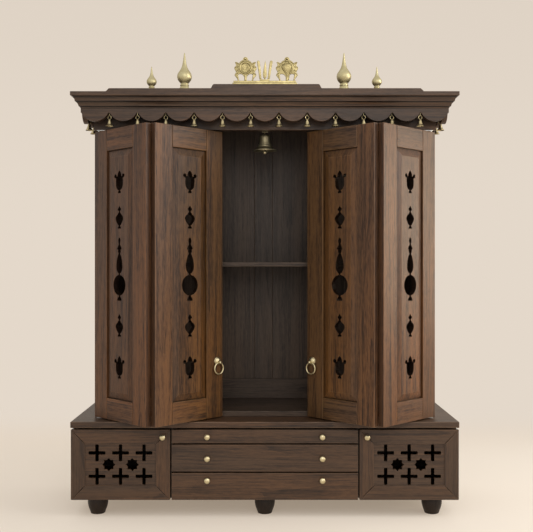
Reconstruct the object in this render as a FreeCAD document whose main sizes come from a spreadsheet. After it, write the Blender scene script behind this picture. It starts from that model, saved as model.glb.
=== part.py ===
import FreeCAD, Part
import math
import os
import re
import Sketcher

# A household shrine cabinet with folding leaves, in millimetres, +Z up, front towards -Y.
# The origin is on the floor, under the middle of the base cabinet.

sizes = {
    # base cabinet
    "base_width": 1370,
    "base_depth": 440,
    "base_height": 254,
    "base_board": 20,
    "base_back_board": 12,
    "foot_height": 64,
    "foot_radius": 36,
    "foot_inset_side": 83,
    "foot_inset_front": 70,
    "slab_thickness": 22,
    "slab_overhang": 2,
    # doors and drawers of the base
    "front_thickness": 20,
    "front_gap": 7,
    "front_reveal": 6,
    "front_top_gap": 6,
    "drawer_span": 658,
    "drawer_gap": 5,
    "top_drawer_height": 48,
    "door_frame": 50,
    "door_panel_thickness": 9,
    "door_panel_recess": 5,
    "door_tongue": 8,
    "panel_play": 1,
    "door_pin_inset": 5,
    "door_pin_radius": 2,
    "door_pin_depth": 12,
    "pin_clearance": 0.3,
    "pin_end_gap": 1,
    "hinge_plate_thickness": 2.5,
    "hinge_plate_width": 22,
    "hinge_plate_reach": 40,
    "hinge_plate_inset": 1,
    "hinge_plate_gap": 0.4,
    "cross_column_share": 0.332,
    "cross_row_share": 0.561,
    "cross_length_share": 0.705,
    "cross_arm_share": 0.13,
    "star_share": 0.56,
    "star_waist_share": 0.76,
    "runner_height": 12,
    "runner_width": 14,
    "runner_gap": 0.3,
    "box_side_gap": 6,
    "box_side": 12,
    "box_bottom": 6,
    "box_back_gap": 30,
    "box_top_drop": 12,
    "box_lift": 14,
    "knob_radius": 10.5,
    "knob_depth": 22,
    "knob_spread": 406,
    "low_knob_rise": 23.5,
    # upper cabinet
    "upper_width": 1240,
    "upper_setback": 104,
    "upper_height": 1107,
    "upper_board": 20,
    "back_board": 17,
    "back_rail_height": 77,
    "back_rail_thickness": 10,
    "shelf_rise": 548,
    "shelf_thickness": 16,
    "shelf_setback": 46,
    "header_drop": 65,
    "header_projection": 30,
    # folding leaves
    "leaf_thickness": 22.5,
    "leaf_top_gap": 6.5,
    "leaf_bottom_gap": 4,
    "leaf_angle": 45,
    "pivot_inset": 18,
    "pivot_edge": 11,
    "pivot_radius": 4,
    "pivot_depth": 14,
    "meeting_gap": 4,
    "stile": 75,
    "panel_plate": 8,
    "panel_tongue": 8,
    "panel_margin": 3,
    "panel_bevel": 25,
    "panel_rise": 8,
    "panel_back_recess": 4,
    "tulip_width": 64,
    "tulip_height": 80,
    "tulip_low": 151,
    "tulip_spread": 650,
    "urn_width": 46,
    "urn_height": 80,
    "urn_low": 298,
    "urn_spread": 379,
    "baluster_width": 73,
    "baluster_height": 222,
    "baluster_low": 424,
    "hinge_length": 60,
    "hinge_barrel": 3.5,
    "hinge_barrel_gap": 0.2,
    "hinge_margin": 120,
    # ring pulls
    "pull_edge": 24,
    "pull_rise": 207,
    "pull_plate_radius": 13,
    "pull_plate": 2.5,
    "pull_ball_radius": 13.5,
    "pull_ball_standoff": 22,
    "pull_stem_radius": 4.5,
    "ring_radius": 20.5,
    "ring_wire": 2.5,
    "ring_standoff": 8,
    "ring_drop": 9,
    "ring_clearance": 0.4,
    "lug_thickness": 5,
    "lug_wall": 4,
    # canopy
    "fascia_height": 14,
    "cornice_height": 40,
    "cornice_projection": 31,
    "cornice_depth": 30,
    "ceiling_board": 18,
    "tier_width": 1090,
    "tier_height": 9,
    "tier_shoulder": 11,
    "crest_width": 366,
    "crest_height": 16,
    "crest_shoulder": 14,
    "crest_depth": 120,
    "crest_offset": 5,
    "valance_gap": 30,
    "valance_thickness": 18,
    "valance_drop": 46,
    "valance_notch": 15,
    "valance_notch_flat": 4,
    "valance_scallops": 13,
    "valance_side_scallops": 5,
    # brass
    "small_bell_radius": 13.5,
    "small_bell_height": 24.5,
    "small_bell_loop": 6.4,
    "small_bell_wire": 1.3,
    "small_bell_stem": 1.1,
    "finial_spread": 562,
    "finial_height": 134,
    "finial_radius": 26,
    "small_finial_spread": 796,
    "small_finial_height": 85,
    "small_finial_radius": 17.5,
    "finial_setback": 36,
    "finial_offset": -2,
    "emblem_plate_width": 227,
    "emblem_plate_depth": 26,
    "emblem_plate_height": 15,
    "emblem_setback": 12,
    "emblem_thickness": 6,
    "emblem_spread": 146,
    "emblem_offset": 5,
    "emblem_height": 84,
    "emblem_width": 78,
    "disc_radius": 21,
    "prong_height": 72,
    "prong_reach": 27,
    "prong_foot": 14,
    "prong_width": 8,
    "bell_radius": 45,
    "bell_height": 60,
    "bell_wall": 3,
    "bell_setback": 76,
    "bell_drop": 72,
    "bell_loop": 7,
    "bell_wire": 2,
    "hook_plate": 2.5,
    "hook_gap": 14,
    "hook_rise": 12,
    "hinge_play": 0.3,
    "staple_wire": 1.2,
    "staple_drop": 6,
    "staple_span": 8,
    "clapper_eye": 3,
    "clapper_length": 56,
    "clapper_rod": 1.5,
    "clapper_radius": 8,
}

doc = FreeCAD.newDocument("Mandir")
sheet = doc.addObject("Spreadsheet::Sheet", "Sizes")
for row, (name, number) in enumerate(sizes.items(), start=1):
    sheet.set("A%d" % row, name)
    sheet.set("B%d" % row, str(number))
    sheet.setAlias("B%d" % row, name)
doc.recompute()

nodes = []

# sizes that follow from the driving ones
derived = {
    "valance_width": "(upper_width + 2 * valance_gap)",
    "fronts_height": "(base_height - front_top_gap)",
    "door_width": "((base_width - drawer_span) / 2 - front_reveal)",
    "column_pitch": "((door_width - 2 * door_frame) * cross_column_share)",
    "row_pitch": "((fronts_height - 2 * door_frame) * cross_row_share)",
    "pattern_pitch": "min(column_pitch; row_pitch)",
}


def bound(text):
    """Write a formula of named sizes as an expression of the sheet."""
    def cell(match):
        name = match.group(0)
        if name in derived:
            return bound(derived[name])
        return "Sizes." + name if name in sizes else name

    return re.sub("[a-z_]+", cell, text)


def worth(text):
    """The present value of a formula, in millimetres or degrees."""
    result = sheet.evalExpression(bound(text))
    return float(getattr(result, "Value", result))


def place(piece, corner, turn=None, axis=(0, 0, 1)):
    """Bind a piece's place, and its turn about an axis, to the sheet."""
    if turn is not None:
        piece.Placement = FreeCAD.Placement(
            FreeCAD.Vector(0, 0, 0), FreeCAD.Rotation(FreeCAD.Vector(*axis), worth(turn)))
        piece.setExpression("Placement.Rotation.Angle", bound(turn))
    for letter, text in zip("xyz", corner):
        piece.setExpression("Placement.Base." + letter, bound(text))
    return piece


def kept(piece, label):
    """Name a finished sub-part and put it among the nodes."""
    piece.Label = label
    nodes.append(piece)
    return piece


def board(name, size, corner):
    """A plain board: its three sizes and its lowest corner."""
    piece = doc.addObject("Part::Box", name)
    for side, text in zip(("Length", "Width", "Height"), size):
        piece.setExpression(side, bound(text))
    return place(piece, corner)


def rod(name, radius, length, corner, turn=None, axis=(0, 0, 1)):
    piece = doc.addObject("Part::Cylinder", name)
    piece.setExpression("Radius", bound(radius))
    piece.setExpression("Height", bound(length))
    return place(piece, corner, turn, axis)


def ball(name, radius, centre):
    piece = doc.addObject("Part::Sphere", name)
    piece.setExpression("Radius", bound(radius))
    return place(piece, centre)


def ring(name, radius, wire, centre, turn=None, axis=(0, 0, 1)):
    piece = doc.addObject("Part::Torus", name)
    piece.setExpression("Radius1", bound(radius))
    piece.setExpression("Radius2", bound(wire))
    return place(piece, centre, turn, axis)


def joined(name, pieces):
    piece = doc.addObject("Part::MultiFuse", name)
    piece.Shapes = pieces
    return piece


def cut(name, base, tool):
    piece = doc.addObject("Part::Cut", name)
    piece.Base = base
    piece.Tool = tool
    return piece


def together(name, pieces):
    """Several like solids that share a node."""
    piece = doc.addObject("Part::Compound", name)
    piece.Links = pieces
    return piece


def repeated(name, piece, places):
    """Copies of one piece at several places, as one node."""
    links = []
    for number, spot in enumerate(places):
        link = doc.addObject("App::Link", "%s_%d" % (name, number))
        link.LinkedObject = piece
        place(link, *spot)
        links.append(link)
    return together(name, links)


def new_body(name):
    return doc.addObject("PartDesign::Body", name)


def new_sketch(body, plane, name):
    support = [part for part in body.Origin.OriginFeatures if part.Role == plane][0]
    sketch = body.newObject("Sketcher::SketchObject", name)
    sketch.AttachmentSupport = (support, [""])
    sketch.MapMode = "FlatFace"
    return sketch


def arc_between(start, end, radius, side):
    """A circular arc from start to end: side +1 turns left, -1 right, and 2 or -2 is the long way round."""
    chord = end - start
    half = chord.Length / 2
    rise = math.sqrt(max(radius * radius - half * half, 0))
    normal = FreeCAD.Vector(-chord.y, chord.x, 0).normalize()
    toward = 1 if side in (1, -2) else -1
    centre = (start + end) / 2 + normal * rise * toward
    first, last = (start, end) if side > 0 else (end, start)
    begin = math.atan2(first.y - centre.y, first.x - centre.x)
    finish = math.atan2(last.y - centre.y, last.x - centre.x)
    circle = Part.Circle(centre, FreeCAD.Vector(0, 0, 1), radius)
    return Part.ArcOfCircle(circle, begin, finish)


def draw(sketch, points, closed=True):
    """Draw an outline whose corners, and arc radii, are bound to the sheet.

    A point is (x, y), or (x, y, radius, side) where an arc leads to it.
    """
    corners = [FreeCAD.Vector(worth(point[0]), worth(point[1]), 0) for point in points]
    steps = list(range(1, len(points))) + ([0] if closed else [])
    ends = []
    for step in steps:
        start, end, point = corners[step - 1], corners[step], points[step]
        if len(point) == 4:
            index = sketch.addGeometry(arc_between(start, end, worth(point[2]), point[3]), False)
            ends.append((index, 1, 2) if point[3] > 0 else (index, 2, 1))
        else:
            index = sketch.addGeometry(Part.LineSegment(start, end), False)
            ends.append((index, 1, 2))
    rules = []
    formulas = []
    pairs = zip(ends, ends[1:] + ends[:1]) if closed else zip(ends, ends[1:])
    for (index, _, last), (after, first, _) in pairs:
        rules.append(Sketcher.Constraint("Coincident", index, last, after, first))
        formulas.append(None)
    spots = [(ends[0][0], ends[0][1], 0)] if not closed else []
    spots += [(index, last, step) for (index, _, last), step in zip(ends, steps)]
    for index, where, step in spots:
        for kind, text, number in (("DistanceX", points[step][0], corners[step].x),
                                   ("DistanceY", points[step][1], corners[step].y)):
            rules.append(Sketcher.Constraint(kind, -1, 1, index, where, number))
            formulas.append(text)
    for (index, _, _), step in zip(ends, steps):
        if len(points[step]) == 4:
            rules.append(Sketcher.Constraint("Radius", index, worth(points[step][2])))
            formulas.append(points[step][2])
    first_rule = sketch.ConstraintCount
    sketch.addConstraint(rules)
    for number, text in enumerate(formulas):
        if text is not None and re.search("[a-z]", text):
            sketch.setExpression("Constraints[%d]" % (first_rule + number), bound(text))
    return sketch


def rectangle(left, bottom, right, top):
    return [(left, bottom), (right, bottom), (right, top), (left, top)]


def mirrored(half):
    """Close a right-hand half outline, which runs from bottom to top on the axis, with its mirror."""
    whole = list(half)
    for number in range(len(half) - 1, 0, -1):
        target = half[number - 1]
        flipped = ("-(" + target[0] + ")", target[1])
        if len(half[number]) == 4:
            flipped += (half[number][2], half[number][3])
        if number == 1:
            if len(half[1]) == 4:
                raise ValueError("the first step of a half outline is straight")
            break
        whole.append(flipped)
    return whole


def scaled(points, width, height):
    """Turn proportions of a piece's half width and height into an outline.

    A point is (x, z), or (x, z, bulge) where an arc leads to it: a bulge is the tangent of a quarter of
    the arc's angle, and turns left where it is over 0.
    """
    outline = []
    for number, point in enumerate(points):
        spot = ("%s * %s / 2" % (point[0], width), "%s * %s" % (point[1], height))
        if len(point) == 3:
            before = points[number - 1]
            bulge = abs(point[2])
            chord = "sqrt((%.4f * %s / 2) ^ 2 + (%.4f * %s) ^ 2)" % (
                point[0] - before[0], width, point[1] - before[1], height)
            side = (1 if point[2] > 0 else -1) * (2 if bulge > 1 else 1)
            spot += ("%s * %.5f" % (chord, (1 + bulge * bulge) / (4 * bulge)), side)
        outline.append(spot)
    return outline


def pad(body, sketch, length, reversed_way=False, midplane=False):
    feature = body.newObject("PartDesign::Pad", sketch.Name + "_pad")
    feature.Profile = sketch
    feature.setExpression("Length", bound(length))
    feature.Reversed = reversed_way
    feature.Midplane = midplane
    body.Tip = feature
    return feature


def pocket(body, sketch, name):
    """Cut an outline right through, both ways from its plane."""
    feature = body.newObject("PartDesign::Pocket", name)
    feature.Profile = sketch
    feature.Type = 1
    feature.Midplane = True
    body.Tip = feature
    return feature


def turned(name, half):
    """A turned piece: its half outline (radius, height) spun about the upright axis."""
    body = new_body(name)
    sketch = draw(new_sketch(body, "XZ_Plane", name + "_profile"), half)
    feature = body.newObject("PartDesign::Revolution", name + "_turning")
    feature.Profile = sketch
    feature.ReferenceAxis = (sketch, ["V_Axis"])
    feature.Angle = 360
    body.Tip = feature
    return body


def cap_radius(half, rise):
    """The radius of a round cap from its half width and its rise."""
    return "(%s ^ 2 + %s ^ 2) / (2 * %s)" % (half, rise, rise)


# plan lines: the middle of the whole depth, from the tips of the open leaves to the back, is at y = 0
leaf_width = "((upper_width / 2 - pivot_inset + pivot_edge - meeting_gap / 2) / 2)"
leaf_reach = ("((%s - pivot_edge) * sin(leaf_angle) + leaf_thickness / 2 * cos(leaf_angle)"
              " - (upper_setback - header_projection + leaf_thickness / 2))" % leaf_width)
front = "((%s - base_depth) / 2)" % leaf_reach
back = "((%s + base_depth) / 2)" % leaf_reach
carcass_front = "(%s + front_thickness + front_gap)" % front
carcass_depth = "(base_depth - front_thickness - front_gap)"
slab_bottom = "(foot_height + base_height)"
slab_top = "(foot_height + base_height + slab_thickness)"
low_drawer_height = "((base_height - front_top_gap - top_drawer_height - 2 * drawer_gap) / 2)"
partition_middle = "((drawer_span + front_reveal) / 2)"
upper_front = "(%s + upper_setback)" % front
upper_depth = "(base_depth - upper_setback)"
canopy_bottom = "(foot_height + base_height + slab_thickness + upper_height)"
fascia_bottom = "(foot_height + base_height + slab_thickness + upper_height + cornice_height)"
fascia_top = "(foot_height + base_height + slab_thickness + upper_height + cornice_height + fascia_height)"
tier_top = fascia_top[:-1] + " + tier_height)"
header_front = "(%s + upper_setback - header_projection)" % front
header_bottom = "(foot_height + base_height + slab_thickness + upper_height - header_drop)"


# base cabinet

foot_half = [(0, 0), (0.62, 0), (0.73, 0.08, 0.3), (1, 0.63, 0.12), (0.94, 0.97, 0.15), (0.94, 1), (0, 1)]
foot = turned("foot", scaled(foot_half, "2 * foot_radius", "foot_height"))
foot_side = "(base_width / 2 - foot_inset_side)"
kept(repeated("bun_feet", foot, [
    ((x, y, "0"),) for x in ("-" + foot_side, "0", foot_side)
    for y in (front + " + foot_inset_front", back + " - foot_inset_front")
]), "bun_feet")

kept(board("base_bottom",
           ("base_width - 2 * base_board", carcass_depth + " - base_back_board", "base_board"),
           ("base_board - base_width / 2", carcass_front, "foot_height")), "base_bottom")

kept(together("base_sides", [
    board("base_side_" + side, ("base_board", carcass_depth, "base_height"),
          (x, carcass_front, "foot_height"))
    for side, x in (("left", "-base_width / 2"), ("right", "base_width / 2 - base_board"))
]), "base_sides")

kept(together("base_partitions", [
    board("base_partition_" + side,
          ("base_board", carcass_depth + " - base_back_board", "base_height - base_board"),
          (x + " - base_board / 2", carcass_front, "foot_height + base_board"))
    for side, x in (("left", "-" + partition_middle), ("right", partition_middle))
]), "base_partitions")

kept(board("base_back",
           ("base_width - 2 * base_board", "base_back_board", "base_height"),
           ("base_board - base_width / 2", back + " - base_back_board", "foot_height")), "base_back")

kept(board("counter_top",
           ("base_width + 2 * slab_overhang", "base_depth + slab_overhang", "slab_thickness"),
           ("-(base_width / 2 + slab_overhang)", front + " - slab_overhang", slab_bottom)), "counter_top")


# drawers of the base, from the bottom up

knob_half = [(0, 0), (0.58, 0), (0.44, 0.14), (0.44, 0.32), (1, 0.62, 0.2), (1, 0.7), (0.12, 1, 0.24), (0, 1)]


def knob(name, spot):
    """A turned brass knob whose neck stands on the face at y = 0 of its own frame and points to the front."""
    body = turned(name, scaled(knob_half, "2 * knob_radius", "knob_depth"))
    return place(body, spot, "90", (1, 0, 0))


opening_half = "(" + partition_middle + " - base_board / 2)"
box_half = "(" + opening_half + " - box_side_gap)"
drawer_floor = {
    "bottom": "foot_height",
    "middle": "(foot_height + " + low_drawer_height + " + drawer_gap)",
    "top": "(foot_height + 2 * (" + low_drawer_height + " + drawer_gap))",
}
drawer_height = {"bottom": low_drawer_height, "middle": low_drawer_height, "top": "top_drawer_height"}
box_floor = {
    "bottom": "(foot_height + base_board + runner_height + runner_gap)",
    "middle": "(" + drawer_floor["middle"] + " + box_lift)",
    "top": "(" + drawer_floor["top"] + " + box_lift * 0.5)",
}
box_depth = "(" + carcass_depth + " - base_back_board - box_back_gap + front_gap)"
runners = []
for level in ("bottom", "middle", "top"):
    floor = box_floor[level]
    high = drawer_floor[level] + " + " + drawer_height[level] + " - box_top_drop"
    if level == "top":
        high = drawer_floor[level] + " + " + drawer_height[level] + " - box_top_drop * 0.5"
    kept(board("drawer_%s_front" % level,
               ("drawer_span", "front_thickness", drawer_height[level]),
               ("-drawer_span / 2", front, drawer_floor[level])), "drawer_%s_front" % level)
    outer = board("drawer_%s_block" % level,
                  ("2 * " + box_half, box_depth, high + " - " + floor),
                  ("-" + box_half, front + " + front_thickness", floor))
    inner = board("drawer_%s_hollow" % level,
                  ("2 * (" + box_half + " - box_side)", box_depth + " - 2 * box_side",
                   high + " - " + floor),
                  ("box_side - " + box_half, front + " + front_thickness + box_side",
                   floor + " + box_bottom"))
    kept(cut("drawer_%s_box" % level, outer, inner), "drawer_%s_box" % level)
    middle = drawer_floor[level] + " + " + drawer_height[level] + " / 2"
    if level == "bottom":
        middle += " + low_knob_rise"
    kept(together("drawer_%s_knobs" % level, [
        knob("drawer_%s_knob_%s" % (level, side), (x, front, middle))
        for side, x in (("left", "-knob_spread / 2"), ("right", "knob_spread / 2"))
    ]), "drawer_%s_knobs" % level)
    for side, x in (("left", "-" + opening_half), ("right", opening_half + " - runner_width")):
        runners.append(board("runner_%s_%s" % (level, side),
                             ("runner_width", carcass_depth + " - base_back_board", "runner_height"),
                             (x, carcass_front, floor + " - runner_gap - runner_height")))
kept(together("drawer_runners", runners), "drawer_runners")


# doors of the base, each turning on two pins at its outer back edge

def door(side):
    """One pierced base door: its frame, its panel and its knob."""
    sign = "-" if side == "left" else ""
    middle = sign + "(base_width / 2 - door_width / 2)"
    body = new_body("door_%s_blank" % side)
    outline = draw(new_sketch(body, "XZ_Plane", "door_%s_outline" % side),
                   rectangle("-door_width / 2", "0", "door_width / 2", "fronts_height"))
    pad(body, outline, "front_thickness", True)
    window = draw(new_sketch(body, "XZ_Plane", "door_%s_window" % side),
                  rectangle("door_frame - door_width / 2", "door_frame",
                            "door_width / 2 - door_frame", "fronts_height - door_frame"))
    pocket(body, window, "door_%s_opening" % side)
    groove = draw(new_sketch(body, "XZ_Plane", "door_%s_rebate" % side),
                  rectangle("door_frame - door_tongue - door_width / 2", "door_frame - door_tongue",
                            "door_width / 2 - door_frame + door_tongue",
                            "fronts_height - door_frame + door_tongue"))
    groove.AttachmentOffset = FreeCAD.Placement(FreeCAD.Vector(0, 0, -1), FreeCAD.Rotation())
    groove.setExpression("AttachmentOffset.Base.z", bound("-door_panel_recess"))
    cutting = body.newObject("PartDesign::Pocket", "door_%s_groove" % side)
    cutting.Profile = groove
    cutting.setExpression("Length", bound("front_thickness"))
    body.Tip = cutting
    place(body, (middle, front, "foot_height"))
    pin = sign + "(base_width / 2 - door_pin_inset)"
    pin_y = "(" + front + " + front_thickness - door_pin_inset)"
    holes = [
        rod("door_%s_%s_hole" % (side, end), "door_pin_radius + pin_clearance", "2 * door_pin_depth",
            (pin, pin_y, "foot_height - door_pin_depth" + rise))
        for end, rise in (("low", ""), ("high", " + fronts_height"))
    ]
    kept(cut("door_%s_frame_drilled" % side, body, together("door_%s_holes" % side, holes)),
         "base_door_%s_frame" % side)
    return middle, pin, pin_y


def cross_half():
    arm = "pattern_pitch * cross_arm_share / 2"
    long = "pattern_pitch * cross_length_share / 2"
    return [("0", "-" + long), (arm, "-" + long), (arm, "-" + arm),
            (long, "-" + arm), (long, arm), (arm, arm),
            (arm, long), ("0", long)]


def shifted(points, dx, dy):
    moved = []
    for point in points:
        spot = ("%s + (%s)" % (dx, point[0]), "%s + (%s)" % (dy, point[1]))
        moved.append(spot + tuple(point[2:]))
    return moved


def star():
    """An eight-point star, as the corners of two squares turned by 45 degrees."""
    points = []
    for corner in range(16):
        reach = "pattern_pitch * star_share / 2"
        if corner % 2:
            reach += " * star_waist_share"
        points.append(("%s * cos(%s)" % (reach, corner * 22.5), "%s * sin(%s)" % (reach, corner * 22.5)))
    return points


def door_panel(side, middle):
    """The flat panel with six crosses in two rows and a star between each four."""
    body = new_body("door_%s_plate" % side)
    width = "(door_width - 2 * door_frame + 2 * door_tongue - panel_play)"
    height = "(fronts_height - 2 * door_frame + 2 * door_tongue - panel_play)"
    outline = draw(new_sketch(body, "XZ_Plane", "door_%s_panel_outline" % side),
                   rectangle("-%s / 2" % width, "-%s / 2" % height, "%s / 2" % width, "%s / 2" % height))
    pad(body, outline, "door_panel_thickness", True)
    for number, (column, line) in enumerate([(c, r) for c in (-1, 0, 1) for r in (-1, 1)]):
        spot = ("%d * column_pitch" % column, "%d * row_pitch / 2" % line)
        sketch = draw(new_sketch(body, "XZ_Plane", "door_%s_cross_%d" % (side, number)),
                      shifted(mirrored(cross_half()), *spot))
        pocket(body, sketch, "door_%s_cross_cut_%d" % (side, number))
    for number, column in enumerate((-1, 1)):
        sketch = draw(new_sketch(body, "XZ_Plane", "door_%s_star_%d" % (side, number)),
                      shifted(star(), "%d * column_pitch / 2" % column, "0"))
        pocket(body, sketch, "door_%s_star_cut_%d" % (side, number))
    place(body, (middle, front + " + door_panel_recess", "foot_height + fronts_height / 2"))
    return kept(body, "base_door_%s_panel" % side)


pins = []
for side in ("left", "right"):
    middle, pin, pin_y = door(side)
    door_panel(side, middle)
    inner = "-" if side == "left" else ""
    kept(knob("base_door_%s_knob" % side,
              (inner + "(base_width / 2 - door_width + door_frame / 2)", front,
               "foot_height + fronts_height - door_frame / 2")), "base_door_%s_knob" % side)
    pins.append(rod("door_%s_top_pin" % side, "door_pin_radius",
                    "door_pin_depth - pin_end_gap + front_top_gap",
                    (pin, pin_y, slab_bottom + " - front_top_gap - door_pin_depth + pin_end_gap")))
    plate_z = "foot_height - hinge_plate_thickness - hinge_plate_gap"
    plate = board("door_%s_plate_foot" % side,
                  ("hinge_plate_width", "front_thickness + front_gap + hinge_plate_reach",
                   "hinge_plate_thickness"),
                  ("%s(base_width / 2 - hinge_plate_width / 2 - hinge_plate_inset)" % inner
                   + " - hinge_plate_width / 2",
                   front + " + front_thickness - 2 * door_pin_inset", plate_z))
    low_pin = rod("door_%s_low_pin" % side, "door_pin_radius",
                  "door_pin_depth - pin_end_gap + hinge_plate_thickness",
                  (pin, pin_y, plate_z))
    pins.append(joined("door_%s_low_pivot" % side, [plate, low_pin]))
kept(together("door_pivots", pins), "door_pivots")


# upper cabinet

upper_inside = "(upper_width - 2 * upper_board)"
kept(together("upper_sides", [
    board("upper_side_" + side, ("upper_board", upper_depth, "upper_height"), (x, upper_front, slab_top))
    for side, x in (("left", "-upper_width / 2"), ("right", "upper_width / 2 - upper_board"))
]), "upper_sides")
kept(board("upper_floor", (upper_inside, upper_depth + " - back_board", "upper_board"),
           ("-%s / 2" % upper_inside, upper_front, slab_top)), "upper_floor")
kept(board("back_panel", (upper_inside, "back_board", "upper_height"),
           ("-%s / 2" % upper_inside, back + " - back_board", slab_top)), "back_panel")
kept(board("back_rail", (upper_inside, "back_rail_thickness", "back_rail_height"),
           ("-%s / 2" % upper_inside, back + " - back_board - back_rail_thickness",
            slab_top + " + upper_board")), "back_rail")
kept(board("inner_shelf", (upper_inside, upper_depth + " - back_board - shelf_setback", "shelf_thickness"),
           ("-%s / 2" % upper_inside, upper_front + " + shelf_setback", slab_top + " + shelf_rise")),
     "inner_shelf")
kept(board("header_rail", ("upper_width", "header_projection", "header_drop"),
           ("-upper_width / 2", header_front, header_bottom)), "header_rail")


# folding leaves

leaf_height = "(upper_height - header_drop - leaf_top_gap - leaf_bottom_gap)"
leaf_bottom = "(%s + leaf_bottom_gap)" % slab_top
pivot_x = "(upper_width / 2 - pivot_inset)"
pivot_y = "(%s + leaf_thickness / 2)" % header_front
leaf_y = "(%s - (%s / 2 - pivot_edge) * sin(leaf_angle))" % (pivot_y, leaf_width)
outer_x = "(%s - (%s / 2 - pivot_edge) * cos(leaf_angle))" % (pivot_x, leaf_width)
inner_x = "(%s - (1.5 * %s - pivot_edge) * cos(leaf_angle) - leaf_thickness * sin(leaf_angle))" % (
    pivot_x, leaf_width)
fold_x = "(%s - (%s - pivot_edge) * cos(leaf_angle) - leaf_thickness / 2 * sin(leaf_angle))" % (
    pivot_x, leaf_width)
fold_y = "(%s - (%s - pivot_edge) * sin(leaf_angle) + leaf_thickness / 2 * cos(leaf_angle))" % (
    pivot_y, leaf_width)

leaf_places = {
    "left_outer": ("-" + outer_x, "-leaf_angle"),
    "left_inner": ("-" + inner_x, "leaf_angle"),
    "right_inner": (inner_x, "-leaf_angle"),
    "right_outer": (outer_x, "leaf_angle"),
}


tulip_half = [(0, 0), (0.24, 0), (0.27, 0.055), (0.11, 0.14, 0.1), (0.62, 0.33, 0.32), (0.7, 0.58, -0.04),
              (0.95, 0.7, -0.15), (0.86, 0.805, 0.95), (0.38, 0.785, -0.22), (0, 1, 0.16)]
urn_half = [(0, 0), (0.42, 0), (0.38, 0.06), (0.16, 0.12, 0.1), (1, 0.43, 0.16), (0.46, 0.62, 0.27),
            (0.16, 0.725, 0.06), (0.16, 0.755), (0.45, 0.85, 0.1), (0.22, 0.915, 0.1), (0, 1, 0.12)]
baluster_half = [(0, 0), (0.34, 0), (0.35, 0.022), (0.12, 0.07, 0.1), (0.12, 0.084),
                 (0.12, 0.41, 0.886), (0.12, 0.43), (0.51, 0.544, 0.28), (0.125, 0.747, 0.145),
                 (0.25, 0.777), (0.21, 0.8), (0.366, 0.82),
                 (0.12, 0.884, 0.1), (0.12, 0.903), (0.195, 0.948, 0.08), (0.125, 0.985, 0.08), (0, 1)]


def prism(name, outline, thickness):
    """A flat piece cut to an outline that stands upright, its back at y = 0 and its front towards -Y."""
    body = new_body(name)
    pad(body, draw(new_sketch(body, "XZ_Plane", name + "_outline"), outline), thickness)
    return body


# one blank and one set of motif cutters serve all four panels
field_half = "(%s / 2 - stile - panel_margin)" % leaf_width
field_height = "(%s - 2 * stile - 2 * panel_margin)" % leaf_height
plate_half = "(%s / 2 - stile + panel_tongue)" % leaf_width
plate_back = "(leaf_thickness / 2 - panel_back_recess)"
plate = board("panel_plate",
              ("2 * " + plate_half, "panel_plate", "%s - 2 * stile + 2 * panel_tongue" % leaf_height),
              ("-" + plate_half, plate_back + " - panel_plate", "stile - panel_tongue"))
field = doc.addObject("Part::Wedge", "panel_field")
for side, text in (
        ("Xmin", "-" + field_half), ("Xmax", field_half), ("Ymax", "panel_rise"), ("Zmax", field_height),
        ("X2min", "panel_bevel - " + field_half), ("X2max", field_half + " - panel_bevel"),
        ("Z2min", "panel_bevel"), ("Z2max", field_height + " - panel_bevel")):
    field.setExpression(side, bound(text))
field.Ymin = 0
field.Zmin = 0
place(field, ("0", plate_back + " - panel_plate", "stile + panel_margin"), "180")
blank = joined("panel_blank", [plate, field])
reach = "4 * leaf_thickness"
tulip = prism("tulip_cutter", mirrored(scaled(tulip_half, "tulip_width", "tulip_height")), reach)
urn = prism("urn_cutter", mirrored(scaled(urn_half, "urn_width", "urn_height")), reach)
baluster = prism("baluster_cutter",
                 mirrored(scaled(baluster_half, "baluster_width", "baluster_height")), reach)
cut_back = "2 * leaf_thickness"
motifs = together("panel_motifs", [
    repeated("tulips", tulip, [(("0", cut_back, "tulip_low"),),
                               (("0", cut_back, "tulip_low + tulip_spread"),)]),
    repeated("urns", urn, [(("0", cut_back, "urn_low"),), (("0", cut_back, "urn_low + urn_spread"),)]),
    repeated("balusters", baluster, [(("0", cut_back, "baluster_low"),)]),
])

for name, (x, turn) in leaf_places.items():
    panel = cut("leaf_panel_" + name, blank, motifs)
    kept(place(panel, (x, leaf_y, leaf_bottom), turn), "leaf_panel_" + name)
    block = board("leaf_block_" + name, (leaf_width, "leaf_thickness", leaf_height),
                  ("-%s / 2" % leaf_width, "-leaf_thickness / 2", "0"))
    window = board("leaf_window_" + name,
                   ("%s - 2 * stile" % leaf_width, "2 * leaf_thickness", "%s - 2 * stile" % leaf_height),
                   ("stile - %s / 2" % leaf_width, "-leaf_thickness", "stile"))
    rebate = board("leaf_rebate_" + name,
                   ("2 * %s + panel_play" % plate_half, "leaf_thickness",
                    "%s - 2 * stile + 2 * panel_tongue + panel_play" % leaf_height),
                   ("-%s - panel_play / 2" % plate_half, plate_back + " - panel_plate",
                    "stile - panel_tongue - panel_play / 2"))
    cuts = [window, rebate]
    if "outer" in name:
        edge = "(%s / 2 - pivot_edge)" % leaf_width
        pivot = "-" + edge if "left" in name else edge
        cuts += [rod("leaf_hole_%s_%s" % (name, end), "pivot_radius + pin_clearance", "2 * pivot_depth",
                     (pivot, "0", z + "-pivot_depth"))
                 for end, z in (("low", ""), ("high", leaf_height))]
    frame = cut("leaf_frame_" + name, block, together("leaf_cuts_" + name, cuts))
    kept(place(frame, (x, leaf_y, leaf_bottom), turn), "leaf_frame_" + name)

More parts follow.
